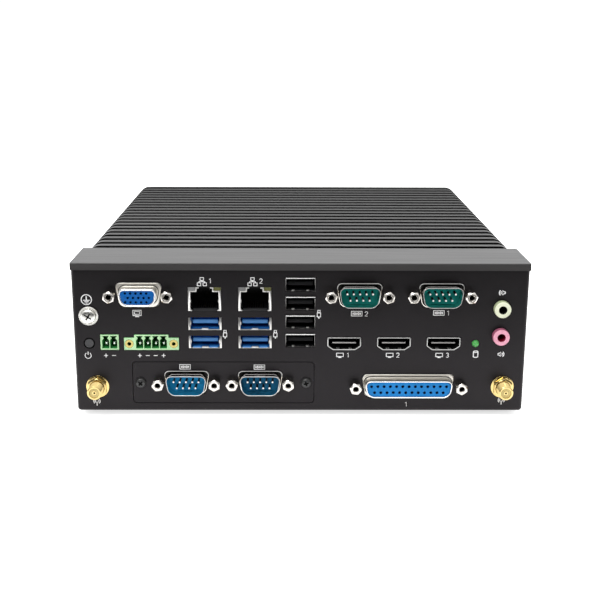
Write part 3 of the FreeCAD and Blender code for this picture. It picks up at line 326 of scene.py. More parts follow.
# Power button, points of (y, radius) from the front
button_collar_gap = 0.1
button_cap = [(0.14, 0.9), (0.12, 1.25), (0.02, 1.5), (0, 1.65), (0.05, 1.8), (0.16, 1.93), (0.3, 2.0)]

# Printed signs
ink_proud = 0.02
ink_line = 0.44
fine_line = 0.34
digit_scale = 0.92
power_row = 26.2
first_pole = -71.15
pole_pitch = 3.5
video_row = 26.5
screen_shift = -1.4
screen_number_shift = 2.2
network_number_shift = (3.65, 0.3)
serial_number_shift = (4.2, -0.1)


# Finishes
def feed(node, inputs):
    """Sets each named input of a shader node to a value, or links another node's output to it."""
    for name, value in inputs.items():
        if isinstance(value, bpy.types.NodeSocket):
            node.id_data.links.new(value, node.inputs[name])
        else:
            node.inputs[name].default_value = value


def added(tree, kind, inputs):
    """Outputs of a new shader node with these inputs."""
    node = tree.nodes.new("ShaderNode" + kind)
    feed(node, inputs)
    return node.outputs


def new_finish(name):
    """Material with its node tree, its shader and the object's own coordinates."""
    material = bpy.data.materials.new(name)
    material.use_nodes = True
    tree = material.node_tree
    return material, tree, tree.nodes["Principled BSDF"], added(tree, "TexCoord", {})["Object"]


def noise(tree, vector, size, detail=2.0, stretch=None):
    """Noise in patches of about the given size, drawn out along an axis where stretch says so."""
    if stretch:
        vector = added(tree, "Mapping", {"Vector": vector, "Scale": stretch})["Vector"]
    return added(tree, "TexNoise", {"Vector": vector, "Scale": 1 / size, "Detail": detail})["Fac"]


def spread_colour(tree, shader, factor, colour, spread):
    """Base colour that wanders a little to each side of the given one."""
    node = tree.nodes.new("ShaderNodeValToRGB")
    dark, light = node.color_ramp.elements
    dark.position, light.position = spread_span
    dark.color = [c * (1 - spread) for c in colour] + [1]
    light.color = [min(c * (1 + spread), 1) for c in colour] + [1]
    feed(node, {"Fac": factor})
    feed(shader, {"Base Color": node.outputs["Color"]})
    return node.color_ramp


def ranged(tree, value, start, end, low, high):
    """Value carried from one range to another."""
    limits = {"From Min": start, "From Max": end, "To Min": low, "To Max": high}
    return added(tree, "MapRange", {"Value": value, **limits})["Result"]


def reckoned(tree, operation, *values):
    """Result of arithmetic on linked values."""
    node = tree.nodes.new("ShaderNodeMath")
    node.operation = operation
    feed(node, dict(enumerate(values)))
    return node.outputs["Value"]


def along(tree, vector, axis):
    """One axis of a linked vector."""
    return added(tree, "SeparateXYZ", {"Vector": vector})[axis]


def bump(tree, shader, height, depth):
    relief = added(tree, "Bump", {"Height": height, "Distance": depth})
    feed(shader, {"Normal": relief["Normal"]})


def coat(name, colour, roughness, grain, depth, spread=0.12, metallic=0.0, specular=0.5, tint=(1, 1, 1)):
    """Finish with a fine grain in its surface and slow wander in its colour and gloss."""
    material, tree, shader, place = new_finish(name)
    feed(shader, {"Metallic": metallic, "Specular IOR Level": specular, "Specular Tint": (*tint, 1)})
    fine = noise(tree, place, grain * mm)
    slow = noise(tree, place, patch_size * mm, patch_detail)
    spread_colour(tree, shader, slow, colour, spread)
    rough = ranged(tree, fine, 0, 1, roughness - roughness_spread, roughness + roughness_spread)
    feed(shader, {"Roughness": rough})
    bump(tree, shader, fine, depth * mm)
    return material


def cover_finish():
    """Anodised cover: brushed lengthwise, with a painted highlight on its front edge, duller fins behind
    and painted shade on its upright sides.
    """
    material, tree, shader, place = new_finish("anodised cover")
    fine = noise(tree, place, cover_grain * mm, stretch=(cover_grain_stretch, 1, 1))
    streaks = noise(tree, place, streak_width * mm, streak_detail, (streak_stretch, 1, 1))
    depth = along(tree, place, "Y")
    edge = ranged(tree, depth, cover_front + edge_highlight_depth * mm, cover_front, 0, 1)
    upward = along(tree, added(tree, "TexCoord", {})["Normal"], "Z")
    # Painted shade on upright faces, the cover's own colour with streaks on upward faces, and a painted
    # highlight along the front edge
    tone = reckoned(tree, "MULTIPLY_ADD", streaks, upward, edge)
    ramp = spread_colour(tree, shader, tone, cover_colour, cover_spread)
    ramp.elements.new(0.0).color = (*side_shade_colour, 1)
    ramp.elements.new(1.0).color = (*edge_highlight_colour, 1)
    step = ranged(tree, depth, land_back - fin_blend * mm, land_back, land_roughness, fin_roughness)
    dulling = ranged(tree, depth, land_back, cover_rear, 0, rear_dulling)
    flank_gloss = ranged(tree, depth, land_back - fin_blend * mm, land_back, 0, -side_gloss)
    brushing = ranged(tree, streaks, 0, 1, -streak_gloss, streak_gloss)
    rough = reckoned(tree, "ADD", reckoned(tree, "ADD", step, dulling), brushing)
    rough = reckoned(tree, "MULTIPLY_ADD", ranged(tree, upward, 0, 1, 1, 0), flank_gloss, rough)
    feed(shader, {"Roughness": rough})
    bump(tree, shader, fine, cover_grain_depth * mm)
    return material


def metal(name, colour, roughness):
    return coat(name, colour, roughness, metal_grain, metal_grain_depth, metal_spread, metallic=1.0)


def moulded(name, colour, roughness=0.42, specular=0.12):
    return coat(name, colour, roughness, moulded_grain, moulded_grain_depth, specular=specular)


# Finishes by slot: colour and roughness, and for a coat the size and depth of its grain
finishes = {
    "cover_paint": cover_finish(),
    "housing_paint": coat(
        "black powder coat", panel_colour, 0.38, 0.3, 0.012, specular=0.23, tint=panel_tint
    ),
    "foot_rubber": coat("foot rubber", (0.02, 0.02, 0.02), 0.8, 0.4, 0.02),
    "black_screw": coat("black oxide", (0.05, 0.05, 0.05), 0.35, 0.3, 0.01, metallic=0.6),
    "nickel": metal("bright nickel", (0.69, 0.66, 0.62), 0.22),
    "tin_plate": metal("satin tin plate", (0.74, 0.71, 0.65), 0.42),
    "shield_steel": metal("tinned steel", (0.7, 0.69, 0.67), 0.33),
    "vga_blue": moulded("socket blue", (0.0065, 0.11, 0.395)),
    "gpio_blue": moulded("sky blue", (0.017, 0.21, 0.56)),
    "plug_green": moulded("plug green", (0.01, 0.265, 0.24)),
    "plug_teal": moulded("plug teal", (0.01, 0.14, 0.3)),
    "usb3_blue": moulded("bus blue", (0.025, 0.16, 0.46)),
    "black_plastic": moulded("moulded black", (0.01, 0.01, 0.011)),
    "gold": metal("gold plating", (0.62, 0.475, 0.2), 0.18),
    "light_lens": moulded("clear lens", (0.22, 0.22, 0.22), 0.3),
    "terminal_green": moulded("terminal green", (0.48, 0.75, 0.43)),
    "tinned_pin": metal("tinned pin", (0.93, 0.93, 0.91), 0.45),
    "brass": metal("machined brass", (0.5, 0.42, 0.15), 0.3),
    "audio_pink": moulded("audio pink", (0.87, 0.41, 0.53), 0.35),
    "audio_lime": moulded("audio lime", (0.76, 0.79, 0.6), 0.35),
    "led_green": moulded("green lens", (0.08, 0.42, 0.09), 0.15, 0.5),
    "lead_jacket": moulded("lead jacket", (0.02, 0.02, 0.02), 0.5),
    "circuit_board": coat("solder mask", (0.02, 0.12, 0.05), 0.4, 0.4, 0.01),
    "chip_package": coat("chip package", (0.08, 0.08, 0.08), 0.5, 0.3, 0.01),
    "bare_aluminium": metal("machined aluminium", (0.7, 0.7, 0.7), 0.35),
}

# Finishes of single pieces and faces, many of them painted shade and painted highlights for hollows, rims
# and edges
olive_lens = moulded("olive lens", (0.12, 0.12, 0.045), 0.3)
white_ink = moulded("white ink", (0.85, 0.85, 0.85), 0.5, 0.3)
plug_nickel = metal("polished nickel", (0.8, 0.77, 0.72), 0.07)
plug_blue = moulded("plug blue", (0.012, 0.27, 0.6))
# Painted shade in navy on the walls of contact holes
hole_shade_navy = moulded("hole shade navy", (0.002, 0.012, 0.05))
# Painted highlight in paler blue on the fronts of USB tongues and sills
tongue_highlight_blue = moulded("tongue highlight blue", (0.1, 0.28, 0.6))
# Painted highlight in grey on the network mouths' floors
sill_highlight_grey = moulded("sill highlight grey", (0.05, 0.05, 0.052), 0.4)
# Painted highlight in grey on the video tongues' fronts
tongue_highlight_grey = moulded("tongue highlight grey", (0.35, 0.34, 0.33), 0.4)
# Painted shade in deep green inside the header pockets
pocket_shade_green = moulded("pocket shade green", (0.04, 0.28, 0.07))
# Painted shade in steel: bore walls, pin bodies, shell folds, and the lips and insides of sockets
steel_shade = coat("shaded steel", (0.02, 0.02, 0.02), 0.5, 0.5, 0.004, metallic=0.8)
# Black plastic of the video tongues, and painted shade in black in screw crosses, the lime jack's bore and
# behind the button's cap
black_plastic_and_shade = moulded("black plastic and painted shade", (0.004, 0.004, 0.004), 0.6, 0.2)
# Painted shade in dark wine in the pink jack's bore
bore_shade_wine = moulded("bore shade wine", (0.25, 0.005, 0.03), 0.6, 0.2)
cap_grey = moulded("cap grey", (0.07, 0.07, 0.073), 0.45)
screw_plate = metal("zinc plate", (0.76, 0.75, 0.71), 0.28)
# Painted highlight on socket rims and USB lip edges, a paler copy of the metal
rim_highlight = metal("rim highlight", (0.9, 0.9, 0.89), 0.28)
# Painted highlight on the plug rims, a rougher copy of the nickel that reads as a thin light line
plug_rim_highlight = metal("plug rim highlight", (0.6, 0.6, 0.59), 0.3)
# Painted shade in darker nickel on the plugs' roofs
nickel_shade = metal("shaded nickel", (0.2, 0.19, 0.18), 0.12)
# Painted highlight on the plugs' rings
ring_highlight = metal("ring highlight", (0.95, 0.95, 0.94), 0.5)
video_steel = metal("satin steel", (0.45, 0.45, 0.44), 0.35)
# Painted shade: darker copies of lime and pink on the audio barrels' sides
lime_side_shade = moulded("shaded lime", (0.44, 0.5, 0.3), 0.35)
pink_side_shade = moulded("shaded pink", (0.42, 0.12, 0.2), 0.35)
amber_filling = moulded("amber filling", (0.78, 0.64, 0.28), 0.5)


def dress_solids():
    """Every solid takes the finish of its slot."""
    for subpart in frame["record"]["subparts"]:
        node = frame["nodes"][subpart["node"]]
        node.data.materials.clear()
        node.data.materials.append(finishes[subpart["material_slot"]])


def slot_of(node):
    return next(s["material_slot"] for s in frame["record"]["subparts"] if s["node"] == node)


# Places in the frame, in millimetres
def node_box(node):
    low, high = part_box(node)
    return low / mm, high / mm


def node_middle(node):
    low, high = node_box(node)
    return (low + high) / 2


def solids_in(node):
    """Corner points of each separate solid in a node, from left to right."""
    mesh = bmesh.new()
    mesh.from_mesh(frame["nodes"][node].data)
    bmesh.ops.remove_doubles(mesh, verts=mesh.verts, dist=merge_distance * mm)
    left = set(mesh.verts)
    solids = []
    while left:
        reached = [left.pop()]
        for vert in reached:
            for edge in vert.link_edges:
                other = edge.other_vert(vert)
                if other in left:
                    left.remove(other)
                    reached.append(other)
        solids.append([vert.co / mm for vert in reached])
    mesh.free()
    return sorted(solids, key=lambda points: tuple(points_box(points)[0]))


def points_box(points):
    low = Vector([min(p[i] for p in points) for i in range(3)])
    high = Vector([max(p[i] for p in points) for i in range(3)])
    return low, high


def boxes_in(node):
    return [points_box(points) for points in solids_in(node)]


face_y = node_box("module_plate")[0].y
back_y = node_box("module_plate")[1].y
panel_foot = node_box("front_panel")[0].z


# Modelling by hand
def only(*pieces):
    """Leaves just these pieces selected, with the first of them active."""
    bpy.ops.object.select_all(action="DESELECT")
    for piece in pieces:
        piece.select_set(True)
    bpy.context.view_layer.objects.active = pieces[0]


def settle(piece):
    """Puts a piece's place, turn and scale into its mesh."""
    only(piece)
    bpy.ops.object.transform_apply(location=True, rotation=True, scale=True)
    return piece


def started(operator, **form):
    """New primitive as an object whose place is in its mesh."""
    bpy.ops.object.select_all(action="DESELECT")
    operator(**form)
    return settle(bpy.context.object)


def placed(name, data):
    """New object in the scene with the given data."""
    piece = bpy.data.objects.new(name, data)
    bpy.context.scene.collection.objects.link(piece)
    return piece


def edit(piece):
    """Opens a piece in edit mode with everything selected."""
    only(piece)
    bpy.ops.object.mode_set(mode="EDIT")
    bpy.ops.mesh.select_all(action="SELECT")


def edit_done():
    bpy.ops.object.mode_set(mode="OBJECT")


def pick(kind, test):
    """In edit mode, selects just the vertices, edges or faces whose middle passes the test."""
    bpy.ops.mesh.select_mode(type=kind)
    bpy.ops.mesh.select_all(action="DESELECT")
    data = bpy.context.object.data
    mesh = bmesh.from_edit_mesh(data)
    for element in {"VERT": mesh.verts, "EDGE": mesh.edges, "FACE": mesh.faces}[kind]:
        corners = [element.co] if kind == "VERT" else [vert.co for vert in element.verts]
        if test(sum(corners, Vector((0, 0, 0))) / len(corners)):
            element.select_set(True)
    mesh.select_flush_mode()
    bmesh.update_edit_mesh(data)


def near(value, target):
    return abs(value - target) < closeness


def push(distance):
    """Extrudes the selected faces forward, towards -Y."""
    bpy.ops.mesh.extrude_region_move(TRANSFORM_OT_translate={"value": (0, -distance, 0)})


def stretch(x, y, z, middle):
    bpy.ops.transform.resize(value=(x, y, z), center_override=middle)


def tidy_normals():
    bpy.ops.mesh.select_all(action="SELECT")
    bpy.ops.mesh.normals_make_consistent(inside=False)


def cut(piece, tool, operation="DIFFERENCE"):
    """Cuts a tool out of a piece, or keeps or adds it, and throws the tool away."""
    only(piece)
    modifier = piece.modifiers.new("cut", "BOOLEAN")
    modifier.object = tool
    modifier.operation = operation
    modifier.solver = "EXACT"
    bpy.ops.object.modifier_apply(modifier=modifier.name)
    discard(tool)


def discard(piece):
    bpy.data.objects.remove(piece, do_unlink=True)


def copied(model, place, direction=(0, 1, 0), turn_deg=0.0):
    """Copy with its own mesh: turned about its axis, leant over to a direction and moved to its place."""
    only(model)
    bpy.ops.object.duplicate(linked=False)
    piece = bpy.context.object
    lean = Vector((0, 1, 0)).rotation_difference(Vector(direction)).to_matrix().to_4x4()
    spin = Matrix.Rotation(math.radians(turn_deg), 4, "Y")
    piece.matrix_world = Matrix.Translation(place) @ lean @ spin
    return settle(piece)


def moved(piece, shift):
    piece.location = shift
    return settle(piece)


def joined(pieces):
    only(*pieces)
    if len(pieces) > 1:
        bpy.ops.object.join()
    return bpy.context.object


def set_of(model, places, turns_deg=None):
    """Joined copies of a model, one at each place with its own turn. The model itself is thrown away."""
    turns_deg = turns_deg or [0.0] * len(places)
    copies = [copied(model, place, turn_deg=turn_deg) for place, turn_deg in zip(places, turns_deg)]
    discard(model)
    return joined(copies)


def axes_in(node, y=None):
    """Places on the axes of a node's solids, from left to right, at the given depth or at their fronts."""
    boxes = boxes_in(node)
    return [((low.x + high.x) / 2, low.y if y is None else y, (low.z + high.z) / 2) for low, high in boxes]


def hexagon(radius, depth, place):
    """Six-sided post along Y."""
    form = {"vertices": 6, "radius": radius, "depth": depth}
    return started(bpy.ops.mesh.primitive_cylinder_add, location=place, rotation=facing_front, **form)


def finished(piece, name, slot, nodes=(), body="housing", finish=None):
    """Scales a piece to metres, names and dresses it, and hands it to its body."""
    piece.scale = (mm, mm, mm)
    settle(piece)
    bpy.ops.object.shade_smooth_by_angle(angle=math.radians(smooth_within_deg))
    piece.name = name
    piece.data.name = name
    if not piece.data.materials:
        piece.data.materials.append(finish or finishes[slot])
    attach(piece, body)
    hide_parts(*nodes)
    return piece


def plate(middle, width, height):
    """Upright rectangle that faces forward, left open in edit mode."""
    piece = started(bpy.ops.mesh.primitive_plane_add, size=1, location=middle, rotation=facing_front)
    edit(piece)
    stretch(width, 1, height, middle)
    return piece


def round_corners(radius):
    """Rounds all the corners of the outline in edit mode and leaves its face selected."""
    bpy.ops.mesh.select_all(action="SELECT")
    bpy.ops.mesh.bevel(offset=radius, segments=corner_segments, affect="VERTICES")
    bpy.ops.mesh.select_mode(type="FACE")
    bpy.ops.mesh.select_all(action="SELECT")


def block(low, high):
    """Plain box to shape further or to cut with."""
    piece = started(bpy.ops.mesh.primitive_cube_add, size=1, location=(low + high) / 2)
    edit(piece)
    stretch(*(high - low), (low + high) / 2)
    edit_done()
    return piece


def turned(profile, segments=round_segments):
    """Turned piece about the Y axis: a disc carried along points of (y, radius) from front to back."""
    y, radius = profile[0]
    disc = {"vertices": segments, "radius": radius, "fill_type": "NGON"}
    piece = started(bpy.ops.mesh.primitive_circle_add, location=(0, y, 0), rotation=facing_front, **disc)
    edit(piece)
    bpy.ops.mesh.select_mode(type="FACE")
    bpy.ops.mesh.select_all(action="SELECT")
    for next_y, next_radius in profile[1:]:
        push(y - next_y)
        stretch(next_radius / radius, 1, next_radius / radius, (0, next_y, 0))
        y, radius = next_y, next_radius
    tidy_normals()
    edit_done()
    return piece


def ring_thread(start, pitch, turns, crest, root):
    """Profile points of a thread drawn as rings."""
    points = []
    for turn in range(turns):
        points += [(start + turn * pitch, crest), (start + (turn + 0.5) * pitch, root)]
    return points


def bar(place, size, radius):
    """Small block with rounded edges, placed by the middle of its lower front edge."""
    half = Vector((size[0] / 2, 0, 0))
    piece = block(Vector(place) - half, Vector(place) + Vector(size) - half)
    edit(piece)
    bpy.ops.mesh.bevel(offset=radius, segments=ease_segments, affect="EDGES")
    edit_done()
    return piece


def bar_pair(x, apart, y, z, size, radius):
    """Two such bars, equally far to both sides of a middle."""
    return [bar((x + side * apart, y, z), size, radius) for side in (-1, 1)]


def dish(piece, y, edge, depth):
    """Sinks the face of a piece that lies across the given depth, inside a narrow edge."""
    edit(piece)
    pick("FACE", lambda place: near(place.y, y))
    bpy.ops.mesh.inset(thickness=edge, depth=-depth)
    edit_done()


def solid_copy(node):
    """Merged copy of a solid, in millimetres."""
    piece = placed(node, frame["nodes"][node].data.copy())
    piece.data.materials.clear()
    piece.scale = (1 / mm, 1 / mm, 1 / mm)
    settle(piece)
    edit(piece)
    bpy.ops.mesh.remove_doubles(threshold=merge_distance)
    bpy.ops.mesh.dissolve_limited(angle_limit=math.radians(flat_within_deg))
    edit_done()
    return piece


def ease(piece, width):
    """Rounds every sharp edge of a piece a little."""
    only(piece)
    modifier = piece.modifiers.new("eased edges", "BEVEL")
    modifier.width = width
    modifier.segments = ease_segments
    modifier.limit_method = "ANGLE"
    modifier.angle_limit = math.radians(ease_from_deg)
    bpy.ops.object.modifier_apply(modifier=modifier.name)


def painted(piece, finish, others):
    """Gives a piece its finish, and each other finish to the faces whose middle and normal pass a test."""
    piece.data.materials.clear()
    piece.data.materials.append(finish)
    for index, (other, test) in enumerate(others, 1):
        piece.data.materials.append(other)
        for face in piece.data.polygons:
            if test(face.center, face.normal):
                face.material_index = index


def softened(node, width, more=(), finish=None, others=(), carve=None):
    """Solid with eased edges, carved further if need be and joined by the pieces that belong to it."""
    piece = solid_copy(node)
    ease(piece, width)
    if carve:
        carve(piece)
    piece = joined([piece, *more])
    painted(piece, finish or finishes[slot_of(node)], others)
    return finished(piece, node + "_eased", slot_of(node), [node], frame["nodes"][node]["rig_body"])


def off_axis(place, x=0, z=0):
    return math.hypot(place.x - x, place.z - z)


def behind(y):
    """Test for the faces behind the given depth."""
    return lambda place, normal: place.y > y


# Drawn shells
def d_face(middle, width, height, corner):
    """D-shaped face with leaning flanks and rounded corners, left open in edit mode."""
    lean = 2 * height * math.tan(math.radians(flank_deg))
    piece = plate(middle, width, height)
    pick("VERT", lambda place: place.z < middle.z)
    stretch(1 - lean / width, 1, 1, middle)
    round_corners(corner)
    return piece


def draw(steps):
    """Steps of a drawn form: the face shrinks evenly and moves forward."""
    for inset, forward in steps:
        if inset:
            bpy.ops.mesh.inset(thickness=inset, depth=forward)
        else:
            push(forward)


def total(steps):
    """Sums of the insets and of the moves."""
    return sum(inset for inset, forward in steps), sum(forward for inset, forward in steps)


def drop_faces(y):
    """In edit mode, deletes the faces that lie across the given depth and leaves their edges."""
    pick("FACE", lambda place: near(place.y, y))
    bpy.ops.mesh.delete(type="ONLY_FACE")


def drawn_shell(node, size, form, finishes_of, shade, shine):
    """Shell drawn from one sheet: flange, ring in the panel's cut-out, fold, tube and rolled rim."""
    width, height, cutout_width, screw_pitch = size
    ring, fold, rim, wall = form
    low, high = node_box(node)
    middle = (low + high) / 2
    middle.y = high.y - flange_thickness
    flange = plate(middle, high.x - low.x, high.z - low.z)
    round_corners(flange_corner)
    bpy.ops.mesh.delete(type="ONLY_FACE")
    pick("EDGE", lambda place: True)
    bpy.ops.mesh.extrude_edges_move(TRANSFORM_OT_translate={"value": (0, flange_thickness, 0)})
    edit_done()
    collar = d_face(middle, cutout_width - 2 * flank_growth * ring_gap, ring_height, ring_corner)
    draw(ring)
    bpy.ops.mesh.delete(type="ONLY_FACE")
    drop_faces(middle.y)
    edit_done()
    grow = total(fold)[0]
    foot = Vector((middle.x, middle.y - total(ring)[1], middle.z))
    tube = d_face(foot, width + 2 * flank_growth * grow, height + 2 * grow, tube_corner + grow)
    draw(fold)
    push(foot.y - total(fold)[1] - low.y - rim[0][1])
    draw(rim)
    roll = total(rim)[0] - wall
    across, up = width - 2 * wall, height - 2 * wall
    push(0)
    stretch(across / (across - 2 * roll), 1, up / (up - 2 * roll), middle)
    push(low.y - high.y - total(rim[1:])[1])
    bpy.ops.mesh.delete(type="ONLY_FACE")
    drop_faces(foot.y)
    edit_done()
    shell = joined([flange, collar, tube])
    edit(shell)
    for y in (middle.y, foot.y, high.y):
        pick("EDGE", lambda place: near(place.y, y))
        bpy.ops.mesh.bridge_edge_loops()
    bpy.ops.mesh.select_all(action="SELECT")
    bpy.ops.mesh.remove_doubles(threshold=merge_distance)
    tidy_normals()
    edit_done()
    for side in (-1, 1):
        ends = (middle.y - cut_spare, stem_hole_radius), (high.y + cut_spare, stem_hole_radius)
        hole = turned(ends, hole_segments)
        cut(shell, moved(hole, (middle.x + side * screw_pitch / 2, 0, middle.z)))

    # Painted light on the shell: painted shade on a plug's roof, around a plug's tube foot and in a
    # socket's fold; a painted highlight on a plug's ring and on every rim
    def on_roof(place, normal):
        return normal.z > mostly_up and place.z > middle.z

    def in_shade(place, normal):
        return shade[0] < foot.y - place.y < shade[1]

    def on_ring(place, normal):
        return shine[0] < foot.y - place.y < shine[1] and place.z > middle.z + shine_height

    def on_rim(place, normal):
        return place.y < low.y + rim_depth

    body_finish, roof_finish, rim_finish = finishes_of
    others = [(roof_finish, on_roof), (steel_shade, in_shade), (ring_highlight, on_ring), (rim_finish, on_rim)]
    painted(shell, body_finish, others)
    return shell


def fill_plug(node, middle, finish):
    """Insulator widened until it fills its plug's thin tube."""
    def widen(piece):
        edit(piece)
        stretch(plug_fill_width, 1, plug_fill_height, middle)
        edit_done()

    softened(node, plug_fill_ease, finish=finish, carve=widen)


def make_shells():
    """Sockets with rolled rims and painted shade in navy in their contact holes, and thin plugs filled by
    their insulators.
    """
    sockets = (
        ("vga", (dense_width, socket_height, nine_cutout_width, nine_screw_pitch), dense_rim),
        ("gpio", (wide_width, socket_height, wide_cutout_width, wide_screw_pitch), wide_rim),
    )
    # Finishes of body, roof and rim: sockets get a painted highlight on their rims, plugs get painted shade
    # on their roofs and a painted highlight on their rims
    socket_finishes = (finishes["tin_plate"], finishes["tin_plate"], rim_highlight)
    plug_finishes = (plug_nickel, nickel_shade, plug_rim_highlight)

    # Painted shade in navy on every insulator face that doesn't face squarely forward, the contact holes'
    # walls among them
    def aslant(place, normal):
        return normal.y > -squarely_front

    for kind, size, rim in sockets:
        node = kind + "_shell"
        form = (socket_ring, socket_fold, rim, socket_wall)
        shell = drawn_shell(node, size, form, socket_finishes, socket_shade, socket_shine)
        finished(shell, node + "_drawn", slot_of(node), [node])
        softened(kind + "_insulator", contact_hole_ease, others=[(hole_shade_navy, aslant)])
    size = (nine_width, nine_height, nine_cutout_width, nine_screw_pitch)
    form = (plug_ring, [], plug_rim, plug_wall)
    model = drawn_shell("com_1_shell", size, form, plug_finishes, plug_shade, plug_shine)
    for number in range(1, 5):
        node = f"com_{number}_shell"
        shell = copied(model, node_middle(node) - node_middle("com_1_shell"))
        finished(shell, node + "_drawn", slot_of(node), [node])
        insulator = f"com_{number}_insulator"
        finish = plug_blue if number == blue_plug else finishes[slot_of(insulator)]
        fill_plug(insulator, node_middle(node), finish)
    discard(model)


# Screws
def jackscrew_model(length, stem_length):
    """Hexagonal post with a turned chamfer and a threaded bore in front, and its stem behind."""
    depth = length + cut_spare
    post = hexagon(jack_flats / math.sqrt(3), depth, (0, -depth / 2, 0))
    flare = jack_face_radius + depth / math.tan(math.radians(jack_chamfer_deg))
    cut(post, turned([(-length, jack_face_radius), (cut_spare, flare)]), "INTERSECT")
    bore = [(-depth, jack_thread_radius)]
    bore += ring_thread(-length, jack_thread_pitch, jack_bore_turns, jack_thread_radius, jack_bore_radius)
    cut(post, turned(bore, hole_segments))
    stem = [(-jack_stem_overlap, jack_bore_radius)]
    turns = int(stem_length / jack_thread_pitch)
    stem += ring_thread(0, jack_thread_pitch, turns, jack_bore_radius, jack_thread_radius)
    stem.append((stem_length, jack_bore_radius))
    cut(post, turned(stem, hole_segments), "UNION")

    # Painted shade on the bore's walls behind its first turn
    def in_shaded_bore(place, normal):
        return off_axis(place) < jack_thread_radius and place.y > bore_shade_from - length

    painted(post, finishes["nickel"], [(steel_shade, in_shaded_bore)])
    return post


def make_jackscrews():
    low, high = node_box("jackscrews")
    model = jackscrew_model(face_y - low.y, high.y - face_y)
    screws = set_of(model, axes_in("jackscrews", face_y), jack_turns_deg)
    finished(screws, "threaded_jackscrews", "nickel", ["jackscrews"])


def recessed(screw, finish, crown, size, turn_deg=0.0):
    """Cuts a tapered cross into a screw's crown, and paints the screw with painted shade in black inside
    its cross.
    """
    span, depth, width = size
    floor = crown + depth
    blade = block(Vector((-span / 2, crown - cut_spare, -width / 2)), Vector((span / 2, floor, width / 2)))
    edit(blade)
    pick("FACE", lambda place: near(place.y, floor))
    stretch(*recess_taper, (0, floor, 0))
    edit_done()
    for turn in (turn_deg, turn_deg + 90):
        cut(screw, copied(blade, (0, 0, 0), turn_deg=turn))
    discard(blade)

    def in_shaded_cross(place, normal):
        return off_axis(place) < span / 2 and (normal.y > -partly_front or place.y > floor - depth / 2)

    painted(screw, finish, [(black_plastic_and_shade, in_shaded_cross)])
    return screw


def pointed(length, radius):
    """Last profile points of a shank with a chamfered end."""
    return [(length - screw_point, radius), (length, radius - screw_point)]


def screw_model(head, shank_length):
    shoulder = [(0, screw_radius)] if head[-1][0] == 0 else []
    screw = turned(head + shoulder + pointed(shank_length, screw_radius))
    return recessed(screw, finishes["black_screw"], head[0][0], recess_size)


def screw_seat(points):
    """Where a screw's head ends, which way its shank points, and its whole length."""
    low, high = points_box(points)
    size, middle = high - low, (low + high) / 2
    axis = min(range(3), key=lambda i: abs(size[i - 1] - size[i - 2]))
    flat = Vector([0 if i == axis else 1 for i in range(3)])
    widest = max(points, key=lambda p: ((p - middle) * flat).length)
    heads_low = widest[axis] < middle[axis]
    direction = Vector([(1 if heads_low else -1) if i == axis else 0 for i in range(3)])
    return middle - direction * size[axis] / 2, direction, size[axis]


def make_screws(node, name, head):
    """Screws with a cross recess, on the seats that the solids mark."""
    models = {}
    screws = []
    head_height = -head[0][0]
    for number, points in enumerate(solids_in(node)):
        place, direction, length = screw_seat(points)
        key = round(length, 2)
        if key not in models:
            models[key] = screw_model(head, length - head_height)
        turn_deg = number * screw_turn_deg
        screws.append(copied(models[key], place + direction * head_height, direction, turn_deg))
    for used in models.values():
        discard(used)
    finished(joined(screws), name, slot_of(node), [node])


def make_ground_screw():
    """Domed screw with a cross recess in front of the panel, and its nut behind."""
    (low, high), (nut_low, nut_high) = sorted(boxes_in("ground_screw"), key=lambda corners: corners[0].y)
    middle = (low + high) / 2
    shank = [(0, ground_shank_radius)] + pointed(high.y - face_y, ground_shank_radius)
    screw = turned(ground_dome + ground_rim + shank, fine_segments)
    recessed(screw, screw_plate, ground_dome[0][0], ground_recess_size, ground_recess_turn_deg)
    moved(screw, (middle.x, face_y, middle.z))
    nut_size = nut_high - nut_low
    nut = hexagon(max(nut_size.x, nut_size.z) / 2, nut_size.y, (nut_low + nut_high) / 2)
    ends = (nut_low.y - cut_spare, ground_shank_radius), (nut_high.y + cut_spare, ground_shank_radius)
    cut(nut, moved(turned(ends), (middle.x, 0, middle.z)))
    finished(joined([screw, nut]), "slotted_ground_screw", "nickel", ["ground_screw"])


def make_antenna_jacks():
    """Threaded barrel with a socket and its contact in front, and a flange behind the panel."""
    low, high = boxes_in("antenna_jacks")[0]
    tip, tail = low.y - face_y, high.y - face_y
    panel = back_y - face_y
    floor = tip + antenna_socket_depth
    contact = tip + antenna_contact_recess
    crest, root = antenna_thread_radius, antenna_thread_radius - antenna_thread_depth
    barrel = [
        (floor, antenna_contact_bore),
        (contact, antenna_contact_bore),
        (contact, antenna_contact_radius),
        (floor, antenna_contact_radius),
        (floor, antenna_socket_radius),
        (tip, antenna_socket_radius),
        (tip, crest - antenna_tip_chamfer),
    ]
    first_crest = tip + antenna_tip_chamfer
    barrel += ring_thread(first_crest, antenna_thread_pitch, antenna_thread_turns, crest, root)
    barrel += [
        (panel, crest),
        (panel, antenna_flange_radius),
        (panel + antenna_flange_thickness, antenna_flange_radius),
        (panel + antenna_flange_thickness, antenna_tail_radius),
        (tail, antenna_tail_radius),
    ]
    places = axes_in("antenna_jacks", face_y)
    jacks = set_of(turned(barrel, fine_segments), places)
    finished(jacks, "threaded_antenna_jacks", "gold", ["antenna_jacks"])
    filling_front = tip + antenna_filling_depth
    filling = [
        (floor, antenna_contact_radius),
        (filling_front, antenna_contact_radius),
        (filling_front, antenna_socket_radius),
        (floor, antenna_socket_radius),
    ]
    finished(set_of(turned(filling), places), "antenna_fillings", "light_lens", finish=amber_filling)


